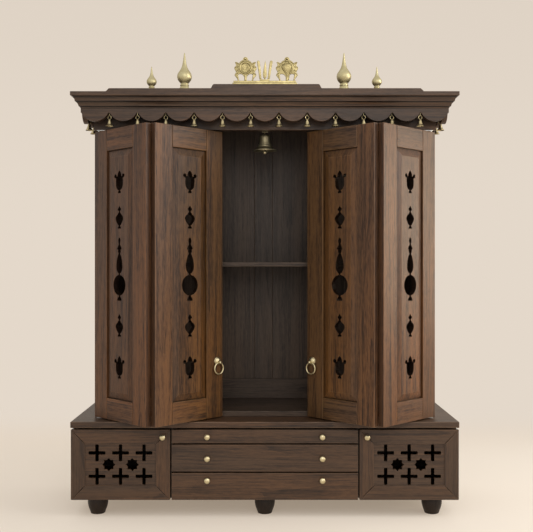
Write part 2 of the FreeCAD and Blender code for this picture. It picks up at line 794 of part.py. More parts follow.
hardware = []
for side, sign in (("left", "-"), ("right", "")):
    for end, z, length in (("low", slab_top, "leaf_bottom_gap + pivot_depth - pin_end_gap"),
                           ("high", header_bottom + " - leaf_top_gap - pivot_depth + pin_end_gap",
                            "leaf_top_gap + pivot_depth - pin_end_gap")):
        hardware.append(rod("leaf_pivot_%s_%s" % (side, end), "pivot_radius", length,
                            (sign + pivot_x, pivot_y, z)))
    barrel_y = fold_y + " + hinge_barrel / cos(leaf_angle) + hinge_barrel_gap"
    for end, z in (("low", leaf_bottom + " + hinge_margin"),
                   ("middle", leaf_bottom + " + %s / 2 - hinge_length / 2" % leaf_height),
                   ("high", leaf_bottom + " + %s - hinge_margin - hinge_length" % leaf_height)):
        hardware.append(rod("leaf_hinge_%s_%s" % (side, end), "hinge_barrel", "hinge_length",
                            (sign + fold_x, barrel_y, z)))
kept(together("leaf_hardware", hardware), "leaf_hardware")


# ring pulls on the free stiles of the inner leaves

def pull_spot(side):
    sign = "-" if side == "left" else ""
    along = "(%s / 2 - pull_edge)" % leaf_width
    x = "%s(%s - %s * cos(leaf_angle) - leaf_thickness / 2 * sin(leaf_angle))" % (sign, inner_x, along)
    y = "(%s + %s * sin(leaf_angle) - leaf_thickness / 2 * cos(leaf_angle))" % (leaf_y, along)
    turn = "leaf_angle" if side == "left" else "-leaf_angle"
    return (x, y, leaf_bottom + " + pull_rise"), turn


rosettes = []
for side in ("left", "right"):
    spot, turn = pull_spot(side)
    hole = rod("pull_hole_" + side, "ring_wire + 2 * ring_clearance", "3 * lug_thickness",
               ("-1.5 * lug_thickness", "-ring_standoff", "-ring_drop"), "90", (0, 1, 0))
    lug = joined("pull_lug_" + side, [
        rod("pull_eye_" + side, "ring_wire + lug_wall", "lug_thickness",
            ("-lug_thickness / 2", "-ring_standoff", "-ring_drop"), "90", (0, 1, 0)),
        board("pull_neck_" + side, ("lug_thickness", "2 * pull_stem_radius", "ring_drop"),
              ("-lug_thickness / 2", "-ring_standoff - pull_stem_radius", "-ring_drop")),
    ])
    solid = joined("pull_solid_" + side, [
        rod("pull_disc_" + side, "pull_plate_radius", "pull_plate", ("0", "0", "0"), "90", (1, 0, 0)),
        rod("pull_stem_" + side, "pull_stem_radius", "pull_ball_standoff", ("0", "0", "0"), "90", (1, 0, 0)),
        ball("pull_ball_" + side, "pull_ball_radius", ("0", "-pull_ball_standoff", "0")),
        cut("pull_drilled_" + side, lug, hole),
    ])
    rosettes.append(place(solid, spot, turn))
    hoop = ring("pull_hoop_" + side, "ring_radius", "ring_wire",
                ("0", "-ring_standoff", "-ring_drop - ring_radius"), "90", (1, 0, 0))
    kept(place(together("pull_ring_" + side, [hoop]), spot, turn), "pull_ring_" + side)
kept(together("pull_rosettes", rosettes), "pull_rosettes")


# canopy

cornice = new_body("canopy_cornice_body")
cornice_half = [(0.03, 0), (0.11, 0.15, -0.2), (0.21, 0.16), (0.21, 0.21), (0.46, 0.54, -0.12), (0.56, 0.55),
                (0.56, 0.605), (0.75, 0.94, -0.12), (0.84, 0.95), (0.84, 1)]
profile = draw(new_sketch(cornice, "XZ_Plane", "cornice_profile"), shifted(
    [("-cornice_depth", "0")] + scaled(cornice_half, "2 * cornice_projection", "cornice_height")
    + [("-cornice_depth", "cornice_height")], "valance_width / 2", "0"))
profile.setExpression("AttachmentOffset.Base.z", bound("-" + back))
route = draw(new_sketch(cornice, "XY_Plane", "cornice_route"), [
    ("valance_width / 2", back),
    ("valance_width / 2", front),
    ("-valance_width / 2", front),
    ("-valance_width / 2", back),
], False)
doc.recompute()
sweep = cornice.newObject("PartDesign::AdditivePipe", "cornice_run")
sweep.Profile = profile
sweep.Spine = (route, [])
sweep.Transition = "Right corner"
cornice.Tip = sweep
kept(place(cornice, ("0", "0", canopy_bottom)), "canopy_cornice")

ceiling_half = "(valance_width / 2 - cornice_depth)"
kept(board("canopy_ceiling", ("2 * " + ceiling_half, "base_depth - cornice_depth", "ceiling_board"),
           ("-" + ceiling_half, front + " + cornice_depth", canopy_bottom)), "canopy_ceiling")

canopy_depth = "(base_depth + cornice_projection)"
top_half = "(valance_width / 2 + cornice_projection)"
top = prism("canopy_top_body", mirrored([
    ("0", "0"),
    (top_half, "0"),
    (top_half, "fascia_height"),
    ("tier_width / 2 + tier_shoulder", "fascia_height"),
    ("tier_width / 2", "fascia_height + tier_height", "tier_shoulder", -1),
    ("0", "fascia_height + tier_height"),
]), canopy_depth)
kept(place(top, ("0", back, fascia_bottom)), "canopy_top")
crest = prism("canopy_crest_body", mirrored([
    ("0", "0"),
    ("crest_width / 2 + crest_shoulder", "0"),
    ("crest_width / 2 + crest_shoulder / 2", "crest_height / 2", "crest_shoulder", -1),
    ("crest_width / 2", "crest_height", "crest_shoulder", 1),
    ("0", "crest_height"),
]), "crest_depth")
kept(place(crest, ("crest_offset", front + " - cornice_projection + crest_depth", tier_top)), "canopy_crest")


def scalloped(name, width, count):
    """A board whose lower edge hangs in equal scallops between narrow notches with a flat top."""
    pitch = "(%s / %d)" % (width, count)
    half = "((%s - valance_notch_flat) / 2)" % pitch
    radius = cap_radius(half, "(valance_drop - valance_notch)")
    outline = [("-%s / 2" % width, "0"), ("-%s / 2" % width, "-valance_notch")]
    for number in range(count):
        middle = "%s * %s - %s / 2" % (number + 0.5, pitch, width)
        outline.append(("%s - %s" % (middle, half), "-valance_notch"))
        outline.append(("%s + %s" % (middle, half), "-valance_notch", radius, 1))
    outline += [("%s / 2" % width, "-valance_notch"), ("%s / 2" % width, "0")]
    return prism(name, outline, "valance_thickness"), pitch


front_count = int(sizes["valance_scallops"])
side_count = int(sizes["valance_side_scallops"])
skirt, pitch = scalloped("valance_front_body", "valance_width", front_count)
kept(place(skirt, ("0", front + " + valance_thickness", canopy_bottom)), "valance_front")
side_run = "(base_depth - valance_thickness)"
side_middle = "(%s + valance_thickness + %s / 2)" % (front, side_run)
wing, side_pitch = scalloped("valance_wing", side_run, side_count)
kept(repeated("valance_sides", wing, [
    (("valance_width / 2 - valance_thickness", side_middle, canopy_bottom), "90"),
    (("-valance_width / 2", side_middle, canopy_bottom), "90"),
]), "valance_sides")


# brass bells of the valance, each hung by a ring from a notch

little_half = [(0, 0), (1, 0), (0.62, 0.34), (0.36, 0.86), (0.14, 1), (0, 1)]
little = turned("little_bell_turning", scaled(little_half, "2 * small_bell_radius", "small_bell_height"))
loop_middle = "(small_bell_height + small_bell_loop - small_bell_wire / 2)"
loop = cut("little_bell_ring",
           rod("little_bell_disc", "small_bell_loop + small_bell_wire", "2 * small_bell_wire",
               ("0", "small_bell_wire", loop_middle), "90", (1, 0, 0)),
           rod("little_bell_eye", "small_bell_loop - small_bell_wire", "4 * small_bell_wire",
               ("0", "2 * small_bell_wire", loop_middle), "90", (1, 0, 0)))
stem = rod("little_bell_stem", "small_bell_stem", "2 * small_bell_loop - small_bell_wire",
           ("0", "0", "small_bell_height + 2 * small_bell_loop - small_bell_wire"))
small_bell = joined("little_bell", [little, loop, stem])
small_bell_rise = "(small_bell_height + 4 * small_bell_loop - 2 * small_bell_wire)"
bell_z = "%s - valance_notch - %s" % (canopy_bottom, small_bell_rise)
spots = [(("%d * %s - valance_width / 2" % (number, pitch), front + " + valance_thickness / 2", bell_z),)
         for number in range(1, front_count)]
for x in ("valance_width / 2 - valance_thickness / 2", "valance_thickness / 2 - valance_width / 2"):
    spots += [((x, "%s + %d * %s - %s / 2" % (side_middle, number, side_pitch, side_run), bell_z),)
              for number in range(1, side_count)]
kept(repeated("valance_bells", small_bell, spots), "valance_bells")


# pot finials

finial_half = [(0, 0), (0.68, 0), (0.66, 0.06), (0.49, 0.14, -0.15), (0.52, 0.19), (0.62, 0.515, 0.532),
               (0.25, 0.73, -0.12), (0.07, 0.985), (0.07, 1), (0, 1)]
finial_y = "(%s - cornice_projection + finial_setback)" % front
pots = []
for name, stem in (("large", "finial"), ("small", "small_finial")):
    pot = turned(name + "_finial", scaled(finial_half, "2 * %s_radius" % stem, stem + "_height"))
    pots.append(repeated(name + "_finials", pot, [
        (("finial_offset %s %s_spread / 2" % (sign, stem), finial_y, tier_top),) for sign in "-+"]))
kept(together("finials", pots), "finials")


# brass emblem on the crest: a disc, three prongs and a conch on one bar

crest_top = tier_top[:-1] + " + crest_height)"
emblem_y = "(%s - cornice_projection + emblem_setback + emblem_plate_depth)" % front
kept(board("emblem_plate", ("emblem_plate_width", "emblem_plate_depth", "emblem_plate_height"),
           ("-emblem_plate_width / 2", emblem_y + " - emblem_plate_depth", crest_top)), "emblem_plate")
figure_y = "(%s - emblem_plate_depth / 2 + emblem_thickness / 2)" % emblem_y
figure_z = crest_top + " + emblem_plate_height"

scroll_half = [(0, 0), (0.63, 0), (0.72, 0.07), (0.95, 0.26), (0.83, 0.34), (0.67, 0.39), (0.85, 0.47),
               (1, 0.57), (0.85, 0.66), (0.88, 0.79), (0.64, 0.74), (0.44, 0.79), (0.24, 0.86),
               (0.2, 0.93), (0, 1)]
gap_points = [(0.3, 0.05), (0.56, 0.04), (0.63, 0.26), (0.37, 0.31)]


def scroll(name):
    """The openwork stand of a figure: curled tufts at its sides and two gaps above its foot."""
    def outline(points, sign=""):
        return [("%s%s * emblem_width / 2" % (sign, x), "%s * emblem_height" % z) for x, z in points]

    plate = prism(name + "_plate", mirrored(outline(scroll_half)), "emblem_thickness")
    gaps = []
    for side, sign in (("left", "-"), ("right", "")):
        gap = prism("%s_gap_%s" % (name, side), outline(gap_points, sign), "3 * emblem_thickness")
        gaps.append(place(gap, ("0", "emblem_thickness", "0")))
    return cut(name + "_openwork", plate, together(name + "_gaps", gaps))


disc_centre = "emblem_height * 0.56"
disc = joined("disc_figure", [
    scroll("disc"),
    rod("disc_boss", "disc_radius", "2 * emblem_thickness",
        ("0", "emblem_thickness / 2", disc_centre), "90", (1, 0, 0)),
])
kept(place(disc, ("emblem_offset - emblem_spread / 2", figure_y, figure_z)), "disc_emblem")

conch_half = [(0, 0), (0.12, 0), (0.72, 0.59, 0.1), (0.25, 0.95, 0.24), (0.06, 1), (0, 1)]
shell = turned("conch_shell", scaled(conch_half, "2 * disc_radius", "emblem_height * 0.74"))
conch = joined("conch_figure", [scroll("conch"), place(shell, ("0", "0", "emblem_height * 0.08"))])
kept(place(conch, ("emblem_offset + emblem_spread / 2", figure_y, figure_z)), "conch_emblem")

prongs = prism("prong_emblem_body", mirrored([
    ("0", "0"),
    ("prong_foot", "0"),
    ("prong_foot", "emblem_thickness / 2"),
    ("prong_reach", "prong_height"),
    ("prong_reach - prong_width", "prong_height"),
    ("prong_foot - prong_width", "emblem_thickness"),
    ("prong_width * 0.6", "emblem_thickness"),
    ("prong_width * 0.6", "prong_height * 0.25"),
    ("0", "prong_height"),
]), "emblem_thickness")
kept(place(prongs, ("0", figure_y, figure_z)), "prong_emblem")


# ceiling bell, its hook and its clapper

bell_y = "(%s + bell_setback)" % upper_front
swing_z = "(%s - bell_drop + bell_wire + 2 * bell_loop)" % canopy_bottom
cheek_out = "(hook_gap / 2 + hook_plate)"
hook_bar = "(%s + bell_wire + hook_rise)" % swing_z
cheek_height = "hook_rise + 2 * bell_wire + hook_plate"
hook = joined("bell_hook_solid", [
    rod("hook_pin", "bell_wire", "2 * " + cheek_out, ("-" + cheek_out, bell_y, swing_z), "90", (0, 1, 0)),
    board("hook_cheek_left", ("hook_plate", "2 * hook_plate", cheek_height),
          ("-" + cheek_out, bell_y + " - hook_plate", swing_z + " - bell_wire")),
    board("hook_cheek_right", ("hook_plate", "2 * hook_plate", cheek_height),
          ("hook_gap / 2", bell_y + " - hook_plate", swing_z + " - bell_wire")),
    board("hook_bridge", ("2 * " + cheek_out, "2 * hook_plate", "hook_plate"),
          ("-" + cheek_out, bell_y + " - hook_plate", hook_bar)),
    rod("hook_stem", "bell_wire", "%s - %s" % (canopy_bottom, hook_bar), ("0", bell_y, hook_bar)),
])
kept(hook, "bell_hook")
loop_z = "(%s + 2 * bell_wire + hinge_play - bell_loop)" % swing_z
crown_z = "(%s - bell_loop - bell_wire / 2)" % loop_z
dome_half = [(0, 0.95), (0, 1), (0.27, 1), (0.45, 0.86, -0.3), (0.48, 0.5), (0.58, 0.3, 0.08),
             (1, 0.03, 0.2), (1, 0), (0.94, 0), (0.53, 0.29, -0.2), (0.42, 0.5, -0.08),
             (0.385, 0.86), (0.2, 0.95, 0.3)]
dome = place(turned("bell_dome", scaled(dome_half, "2 * bell_radius", "bell_height")),
             ("0", bell_y, crown_z + " - bell_height"))
bell_ring = ring("bell_ring", "bell_loop", "bell_wire", ("0", bell_y, loop_z), "90", (0, 1, 0))
clapper_z = crown_z + " - bell_wall - staple_drop"
leg = "staple_drop + bell_wall / 2 + staple_wire * 0.8"
leg_foot = clapper_z + " - staple_wire * 0.8"
staple = joined("bell_staple", [
    rod("staple_left", "staple_wire", leg, ("-staple_span / 2", bell_y, leg_foot)),
    rod("staple_right", "staple_wire", leg, ("staple_span / 2", bell_y, leg_foot)),
    rod("staple_bar", "staple_wire", "staple_span", ("-staple_span / 2", bell_y, clapper_z), "90", (0, 1, 0)),
])
kept(joined("temple_bell_solid", [dome, bell_ring, staple]), "temple_bell")
clapper = joined("clapper_solid", [
    ring("clapper_ring", "clapper_eye", "staple_wire",
         ("0", bell_y, clapper_z + " - hinge_play"), "90", (0, 1, 0)),
    rod("clapper_stem", "clapper_rod", "clapper_length - clapper_eye",
        ("0", bell_y, clapper_z + " - clapper_length")),
    ball("clapper_ball", "clapper_radius", ("0", bell_y, clapper_z + " - clapper_length")),
])
kept(clapper, "bell_clapper")


# build, check and write every node

doc.recompute()
failed = [item.Name for item in doc.Objects if "Invalid" in item.State or "Error" in item.State]
if failed:
    raise RuntimeError("these objects failed: " + ", ".join(failed))
os.makedirs("parts", exist_ok=True)
for node in nodes:
    if node.Shape.isNull() or not node.Shape.isValid():
        raise RuntimeError("the shape of %s is missing or not valid" % node.Label)
    node.Shape.exportStep("parts/%s.step" % node.Label)
    print("%-28s solids %2d  volume %12.1f" % (node.Label, len(node.Shape.Solids), node.Shape.Volume))
print(len(nodes), "nodes")
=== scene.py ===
import math
import random

import bmesh
import bpy
from mathutils import Matrix, Vector


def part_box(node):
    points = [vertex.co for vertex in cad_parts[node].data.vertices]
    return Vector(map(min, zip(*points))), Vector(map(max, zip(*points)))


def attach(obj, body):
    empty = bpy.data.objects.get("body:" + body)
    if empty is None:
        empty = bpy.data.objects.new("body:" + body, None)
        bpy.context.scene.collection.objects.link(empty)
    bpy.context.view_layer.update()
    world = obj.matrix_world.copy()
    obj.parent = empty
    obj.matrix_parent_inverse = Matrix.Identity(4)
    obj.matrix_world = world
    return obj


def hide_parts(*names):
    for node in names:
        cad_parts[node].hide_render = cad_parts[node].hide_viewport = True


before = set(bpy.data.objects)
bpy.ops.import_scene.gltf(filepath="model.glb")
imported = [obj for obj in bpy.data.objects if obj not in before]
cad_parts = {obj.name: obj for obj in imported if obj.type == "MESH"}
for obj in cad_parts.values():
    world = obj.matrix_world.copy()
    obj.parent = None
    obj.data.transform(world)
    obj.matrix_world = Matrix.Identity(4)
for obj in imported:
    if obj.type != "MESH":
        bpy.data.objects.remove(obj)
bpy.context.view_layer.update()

# A household shrine cabinet in dark stained wood with brass fittings, in metres, front towards -Y.

print("frame loaded:", len(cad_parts), "nodes")


# camera

view = {
    "place": (0.006, -3.1545, 0.890),
    "lens": 57.41,
    "sensor": 36.0,
}

camera = bpy.data.objects.new("viewCamera", bpy.data.cameras.new("viewCamera"))
camera.data.lens = view["lens"]
camera.data.sensor_width = view["sensor"]
camera.location = view["place"]
camera.rotation_euler = (math.radians(90), 0, 0)
bpy.context.scene.collection.objects.link(camera)
bpy.context.scene.camera = camera
bpy.context.scene.view_settings.view_transform = "Standard"


# node helpers

# Short calls that add nodes to a tree and wire their inputs.
class Wires:
    def __init__(self, tree):
        self.tree = tree

    def add(self, kind, values=None, **settings):
        node = self.tree.nodes.new(kind)
        for key, value in settings.items():
            setattr(node, key, value)
        for key, value in (values or {}).items():
            self.feed(node.inputs[key], value)
        return node

    def feed(self, socket, value):
        if isinstance(value, bpy.types.NodeSocket):
            self.tree.links.new(value, socket)
        else:
            socket.default_value = value

    def math(self, operation, first, second=0.0, clamp=False):
        return self.add("ShaderNodeMath", {0: first, 1: second}, operation=operation,
                        use_clamp=clamp).outputs[0]

    def blend(self, factor, first, second, mode="MIX"):
        node = self.add("ShaderNodeMix", data_type="RGBA", blend_type=mode)
        for key, value in (("Factor", factor), ("A", first), ("B", second)):
            socket = [s for s in node.inputs if s.name == key and s.enabled][0]
            self.feed(socket, value)
        return [s for s in node.outputs if s.enabled][0]

    def stretched(self, point, factors):
        return self.add("ShaderNodeVectorMath", {0: point, 1: factors}, operation="MULTIPLY").outputs[0]

    def noise(self, point, factors, detail=2.0, rough=0.5):
        return self.add("ShaderNodeTexNoise", {
            "Vector": self.stretched(point, factors), "Scale": 1.0, "Detail": detail, "Roughness": rough,
        }).outputs[0]

    def ranged(self, value, low, high, start=0.0, kind="LINEAR"):
        return self.add("ShaderNodeMapRange", {
            "Value": value, "From Min": low, "From Max": high, "To Min": start,
        }, interpolation_type=kind).outputs[0]


def newMaterial(name):
    material = bpy.data.materials.new(name)
    material.use_nodes = True
    material.node_tree.nodes.clear()
    return material


# floor, backdrop and light

studio = {
    "floorColor": (0.775, 0.746, 0.703),
    "floorGlow": (0.77, 0.62, 0.47),
    "floorGlowShare": 0.40,
    "glowDepths": (0.7, 1.9),
    "sweepLow": (0.776, 0.687, 0.591),
    "sweepHigh": (0.738, 0.651, 0.558),
    "toneHeights": (1.2, 3.0),
    "floorRows": (-6.0, 0.4, 1.0),
    "wallDistance": 3.2,
    "wallHeight": 8.0,
    "halfWidth": 10,
    "sweepRadius": 1.6,
    "sweepSteps": 24,
    "worldColor": (1.0, 0.965, 0.92),
    "worldStrength": 1.03,
}


# The paper takes the shadow near the part and glows evenly far from it.
def sweepPaper():
    material = newMaterial("sweepPaper")
    w = Wires(material.node_tree)
    spot = w.add("ShaderNodeSeparateXYZ", {0: w.add("ShaderNodeTexCoord").outputs["Object"]}).outputs
    above = w.ranged(spot["Z"], *studio["toneHeights"], kind="SMOOTHSTEP")
    behind = w.ranged(spot["Y"], *studio["glowDepths"], kind="SMOOTHSTEP")
    share = w.ranged(spot["Y"], *studio["glowDepths"], studio["floorGlowShare"], "SMOOTHSTEP")
    tone = w.blend(above, (*studio["sweepLow"], 1), (*studio["sweepHigh"], 1))
    tone = w.blend(behind, (*studio["floorGlow"], 1), tone)
    glow = w.add("ShaderNodeEmission", {"Color": tone}).outputs[0]
    shade = w.add("ShaderNodeBsdfDiffuse", {"Color": (*studio["floorColor"], 1)}).outputs[0]
    path = w.add("ShaderNodeLightPath").outputs
    seen = w.math("MAXIMUM", path["Is Camera Ray"], path["Is Glossy Ray"])
    mix = w.add("ShaderNodeMixShader", {0: w.math("MULTIPLY", seen, share), 1: shade, 2: glow})
    w.feed(w.add("ShaderNodeOutputMaterial").inputs["Surface"], mix.outputs[0])
    return material


# One paper sweep: a floor that curves up into a plain pale backdrop.
def makeSweep():
    wallY, radius, steps = studio["wallDistance"], studio["sweepRadius"], studio["sweepSteps"]
    line = [(y, 0.0) for y in studio["floorRows"]]
    line += [(wallY - radius + radius * math.sin(a), radius - radius * math.cos(a))
             for a in (math.radians(90) * k / steps for k in range(steps + 1))]
    line.append((wallY, studio["wallHeight"]))
    count = len(line)
    sheet = bpy.data.meshes.new("studioSweep")
    sheet.from_pydata([(x, y, z) for x in (-studio["halfWidth"], studio["halfWidth"]) for y, z in line], [],
                      [(k, count + k, count + k + 1, k + 1) for k in range(count - 1)])
    sheet.polygons.foreach_set("use_smooth", [True] * len(sheet.polygons))
    sheet.materials.append(sweepPaper())
    sweep = bpy.data.objects.new("studioSweep", sheet)
    bpy.context.scene.collection.objects.link(sweep)


def makeWorld():
    world = bpy.data.worlds.new("studioWorld")
    world.use_nodes = True
    sky = world.node_tree.nodes["Background"]
    sky.inputs["Color"].default_value = (*studio["worldColor"], 1)
    sky.inputs["Strength"].default_value = studio["worldStrength"]
    bpy.context.scene.world = world


lamps = [
    # name, place, aim, size, power in watts, colour, spread in degrees
    ("keyLamp", (2.9, -1.3, 2.1), (0, -0.1, 0.8), 2.0, 57, (1.0, 0.97, 0.93), 180),
    ("sideLamp", (3.1, 0.1, 1.2), (0.3, -0.2, 0.95), 1.5, 8.0, (1.0, 0.84, 0.63), 80),
    ("frontLamp", (0.4, -4.2, 2.6), (0, 0, 0.7), 2.4, 34, (1.0, 0.97, 0.94), 180),
]


def makeLamps():
    for name, place, aim, size, power, color, spread in lamps:
        lamp = bpy.data.lights.new(name, "AREA")
        lamp.shape = "DISK"
        lamp.size = size
        lamp.energy = power
        lamp.color = color
        lamp.spread = math.radians(spread)
        piece = bpy.data.objects.new(name, lamp)
        piece.location = place
        piece.rotation_euler = (Vector(aim) - Vector(place)).to_track_quat("-Z", "Y").to_euler()
        bpy.context.scene.collection.objects.link(piece)


makeSweep()
makeWorld()
makeLamps()
print("studio made")


# shader groups that the finishes share

# A node group whose sockets are (name, type, value) rows.
def newGroup(name, inputs, outputs):
    group = bpy.data.node_groups.new(name, "ShaderNodeTree")
    for label, kind, value in inputs:
        socket = group.interface.new_socket(name=label, in_out="INPUT", socket_type="NodeSocket" + kind)
        if value is not None:
            socket.default_value = value
    for label, kind in outputs:
        group.interface.new_socket(name=label, in_out="OUTPUT", socket_type="NodeSocket" + kind)
    return group, group.nodes.new("NodeGroupInput"), group.nodes.new("NodeGroupOutput")


# Growth rings, fibres and pores of sawn wood, from a point whose x runs along the log's axis.
def makeGrainGroup():
    group, source, result = newGroup("woodGrain", [
        ("Point", "Vector", None),
        ("Ring Width", "Float", 0.0075),
        ("Waviness", "Float", 0.010),
    ], [("Rings", "Float"), ("Fibre", "Float"), ("Streak", "Float"), ("Pores", "Float"), ("Height", "Float")])
    w = Wires(group)
    point = source.outputs["Point"]
    wave = w.noise(point, (1.1, 9.0, 9.0), 2.0)
    fine = w.noise(point, (7.0, 60.0, 60.0), 2.0)
    bend = w.math("MULTIPLY", w.math("SUBTRACT", wave, 0.5), source.outputs["Waviness"])
    jitter = w.math("MULTIPLY", w.math("SUBTRACT", fine, 0.5), 0.004)
    flat = w.add("ShaderNodeVectorMath", {0: w.stretched(point, (0.0, 1.0, 1.0))},
                 operation="LENGTH").outputs["Value"]
    radius = w.math("ADD", w.math("ADD", flat, w.math("MULTIPLY", bend, 3.0)), jitter)
    phase = w.math("FRACT", w.math("DIVIDE", radius, source.outputs["Ring Width"]))
    rings = w.math("POWER", phase, 2.2)
    fibre = w.noise(point, (9.0, 420.0, 420.0), 3.0, 0.6)
    streak = w.noise(point, (3.2, 170.0, 170.0), 3.0, 0.6)
    pores = w.ranged(w.noise(point, (34.0, 1500.0, 1500.0), 1.0), 0.62, 0.70)
    swell = w.math("ADD", w.math("MULTIPLY", fibre, 0.6), w.math("MULTIPLY", rings, 0.25))
    height = w.math("SUBTRACT", swell, pores)
    for socket, value in zip(result.inputs, (rings, fibre, streak, pores, height)):
        w.feed(socket, value)
    return group


# A brown stain over the grain: darker rings and pores, warm and cool patches, rubbed edges.
# Edge is 1 on a rubbed edge and falls to -1 where shade is painted in, in gaps, hollows and under ledges;
# there the colour goes towards near black.
def makeStainGroup():
    group, source, result = newGroup("woodStain", [
        ("Point", "Vector", None),
        ("Rings", "Float", 0.5),
        ("Fibre", "Float", 0.5),
        ("Streak", "Float", 0.5),
        ("Pores", "Float", 0.0),
        ("Edge", "Float", 0.0),
        ("Dark", "Color", (0.02, 0.01, 0.008, 1)),
        ("Middle", "Color", (0.08, 0.05, 0.03, 1)),
        ("Warm", "Color", (0.14, 0.07, 0.03, 1)),
        ("Rubbed", "Color", (0.25, 0.17, 0.11, 1)),
        ("Contrast", "Float", 1.0),
        ("Bands", "Float", 0.6),
    ], [("Color", "Color"), ("Roughness", "Float")])
    w = Wires(group)
    point = source.outputs["Point"]
    patch = w.ranged(w.noise(point, (1.1, 6.0, 6.0), 2.0), 0.40, 0.66)
    base = w.blend(patch, source.outputs["Middle"], source.outputs["Warm"])
    tone = w.math("ADD", w.math("MULTIPLY", w.math("SUBTRACT", source.outputs["Streak"], 0.5), 1.3),
                  w.math("MULTIPLY", w.math("SUBTRACT", source.outputs["Fibre"], 0.5), 1.4))
    tone = w.math("ADD", tone, w.math("MULTIPLY", source.outputs["Rings"], 0.32))
    bands = w.math("SUBTRACT", w.noise(point, (0.9, 46.0, 46.0), 2.0), 0.5)
    flame = w.math("SUBTRACT", w.noise(point, (38.0, 230.0, 230.0), 2.0), 0.5)
    bands = w.math("ADD", bands, flame)
    tone = w.math("ADD", tone, w.math("MULTIPLY", bands, source.outputs["Bands"]))
    tone = w.math("MULTIPLY", tone, source.outputs["Contrast"])
    tone = w.math("ADD", tone, 0.22, True)
    darkened = w.blend(tone, base, source.outputs["Dark"])
    darkened = w.blend(w.math("MULTIPLY", source.outputs["Pores"], 0.6), darkened, source.outputs["Dark"])
    worn = w.ranged(w.noise(point, (14.0, 40.0, 40.0), 2.0), 0.42, 0.62)
    rub = w.math("MULTIPLY", source.outputs["Edge"], w.math("ADD", w.math("MULTIPLY", worn, 0.6), 0.25), True)
    rubbed = w.blend(rub, darkened, source.outputs["Rubbed"])
    # painted shade: a negative Edge blends the colour towards a near black tone
    sunk = w.math("MULTIPLY", source.outputs["Edge"], -1.0, True)
    deep = w.blend(0.55, source.outputs["Dark"], (0.0, 0.0, 0.0, 1))
    w.feed(result.inputs["Color"], w.blend(sunk, rubbed, deep))
    rough = w.math("ADD", w.math("MULTIPLY", source.outputs["Fibre"], 0.22), 0.34)
    w.feed(result.inputs["Roughness"], w.math("ADD", rough, w.math("MULTIPLY", source.outputs["Pores"], 0.2)))
    return group


# Cast and polished brass: soft clouds of tarnish and fine specks.
def makeTarnishGroup():
    group, source, result = newGroup("brassTarnish", [
        ("Point", "Vector", None),
        ("Bright", "Color", (0.8, 0.7, 0.45, 1)),
        ("Dull", "Color", (0.4, 0.3, 0.15, 1)),
        ("Amount", "Float", 0.5),
        ("Satin", "Float", 0.3),
    ], [("Color", "Color"), ("Roughness", "Float"), ("Height", "Float")])
    w = Wires(group)
    point = source.outputs["Point"]
    cloud = w.noise(point, (55.0, 55.0, 55.0), 4.0, 0.6)
    speck = w.noise(point, (420.0, 420.0, 420.0), 2.0)
    mask = w.math("MULTIPLY", w.ranged(cloud, 0.35, 0.7), source.outputs["Amount"], True)
    w.feed(result.inputs["Color"], w.blend(mask, source.outputs["Bright"], source.outputs["Dull"]))
    rough = w.math("ADD", w.math("MULTIPLY", cloud, 0.16), w.math("MULTIPLY", speck, 0.08))
    rough = w.math("ADD", w.math("SUBTRACT", rough, 0.11), source.outputs["Satin"])
    height = w.math("ADD", w.math("MULTIPLY", cloud, 0.7), w.math("MULTIPLY", speck, 0.3))
    w.feed(result.inputs["Roughness"], rough)
    w.feed(result.inputs["Height"], height)
    return group


grainGroup = makeGrainGroup()
stainGroup = makeStainGroup()
tarnishGroup = makeTarnishGroup()


# finishes

def woodFinish(name, look):
    material = newMaterial(name)
    w = Wires(material.node_tree)
    point = w.add("ShaderNodeAttribute", attribute_name="grainPoint").outputs["Vector"]
    edge = w.add("ShaderNodeAttribute", attribute_name="edgeWear").outputs["Fac"]
    grain = w.add("ShaderNodeGroup", node_tree=grainGroup)
    w.feed(grain.inputs["Point"], point)
    w.feed(grain.inputs["Ring Width"], look["ringWidth"])
    stain = w.add("ShaderNodeGroup", node_tree=stainGroup)
    w.feed(stain.inputs["Point"], point)
    w.feed(stain.inputs["Edge"], edge)
    for label in ("Rings", "Fibre", "Streak", "Pores"):
        w.feed(stain.inputs[label], grain.outputs[label])
    for label, key in (("Dark", "dark"), ("Middle", "middle"), ("Warm", "warm"), ("Rubbed", "rubbed")):
        stain.inputs[label].default_value = (*look[key], 1)
    stain.inputs["Contrast"].default_value = look["contrast"]
    stain.inputs["Bands"].default_value = look["bands"]
    bump = w.add("ShaderNodeBump", {
        "Height": grain.outputs["Height"], "Strength": look["relief"], "Distance": 0.0006})
    color = stain.outputs["Color"]
    if "foldPaintedLight" in look:  # painted light: the leaves are painted lighter over the folds, with warm bounce light on the inner leaves and a warmer tone on the outer leaves
        spot = w.add("ShaderNodeSeparateXYZ", {0: w.add("ShaderNodeTexCoord").outputs["Object"]}).outputs["X"]
        inward = w.ranged(w.math("ABSOLUTE", spot), *look["innerRange"])
        outward = w.ranged(w.math("ABSOLUTE", spot), *look["outerRange"])
        paintedLight = w.blend(inward, (*look["foldPaintedLight"], 1), (*look["innerTint"], 1))
        paintedLight = w.blend(outward, paintedLight, (*look["outerTint"], 1))
        color = w.blend(1.0, color, paintedLight, "MULTIPLY")
    varnish = w.add("ShaderNodeBsdfPrincipled", {
        "Base Color": color,
        "Roughness": stain.outputs["Roughness"],
        "Normal": bump.outputs[0],
        "Specular IOR Level": look["shine"],
        "Coat Weight": look["coat"],
        "Coat Roughness": look["coatRoughness"],
    })
    w.feed(w.add("ShaderNodeOutputMaterial").inputs["Surface"], varnish.outputs[0])
    return material


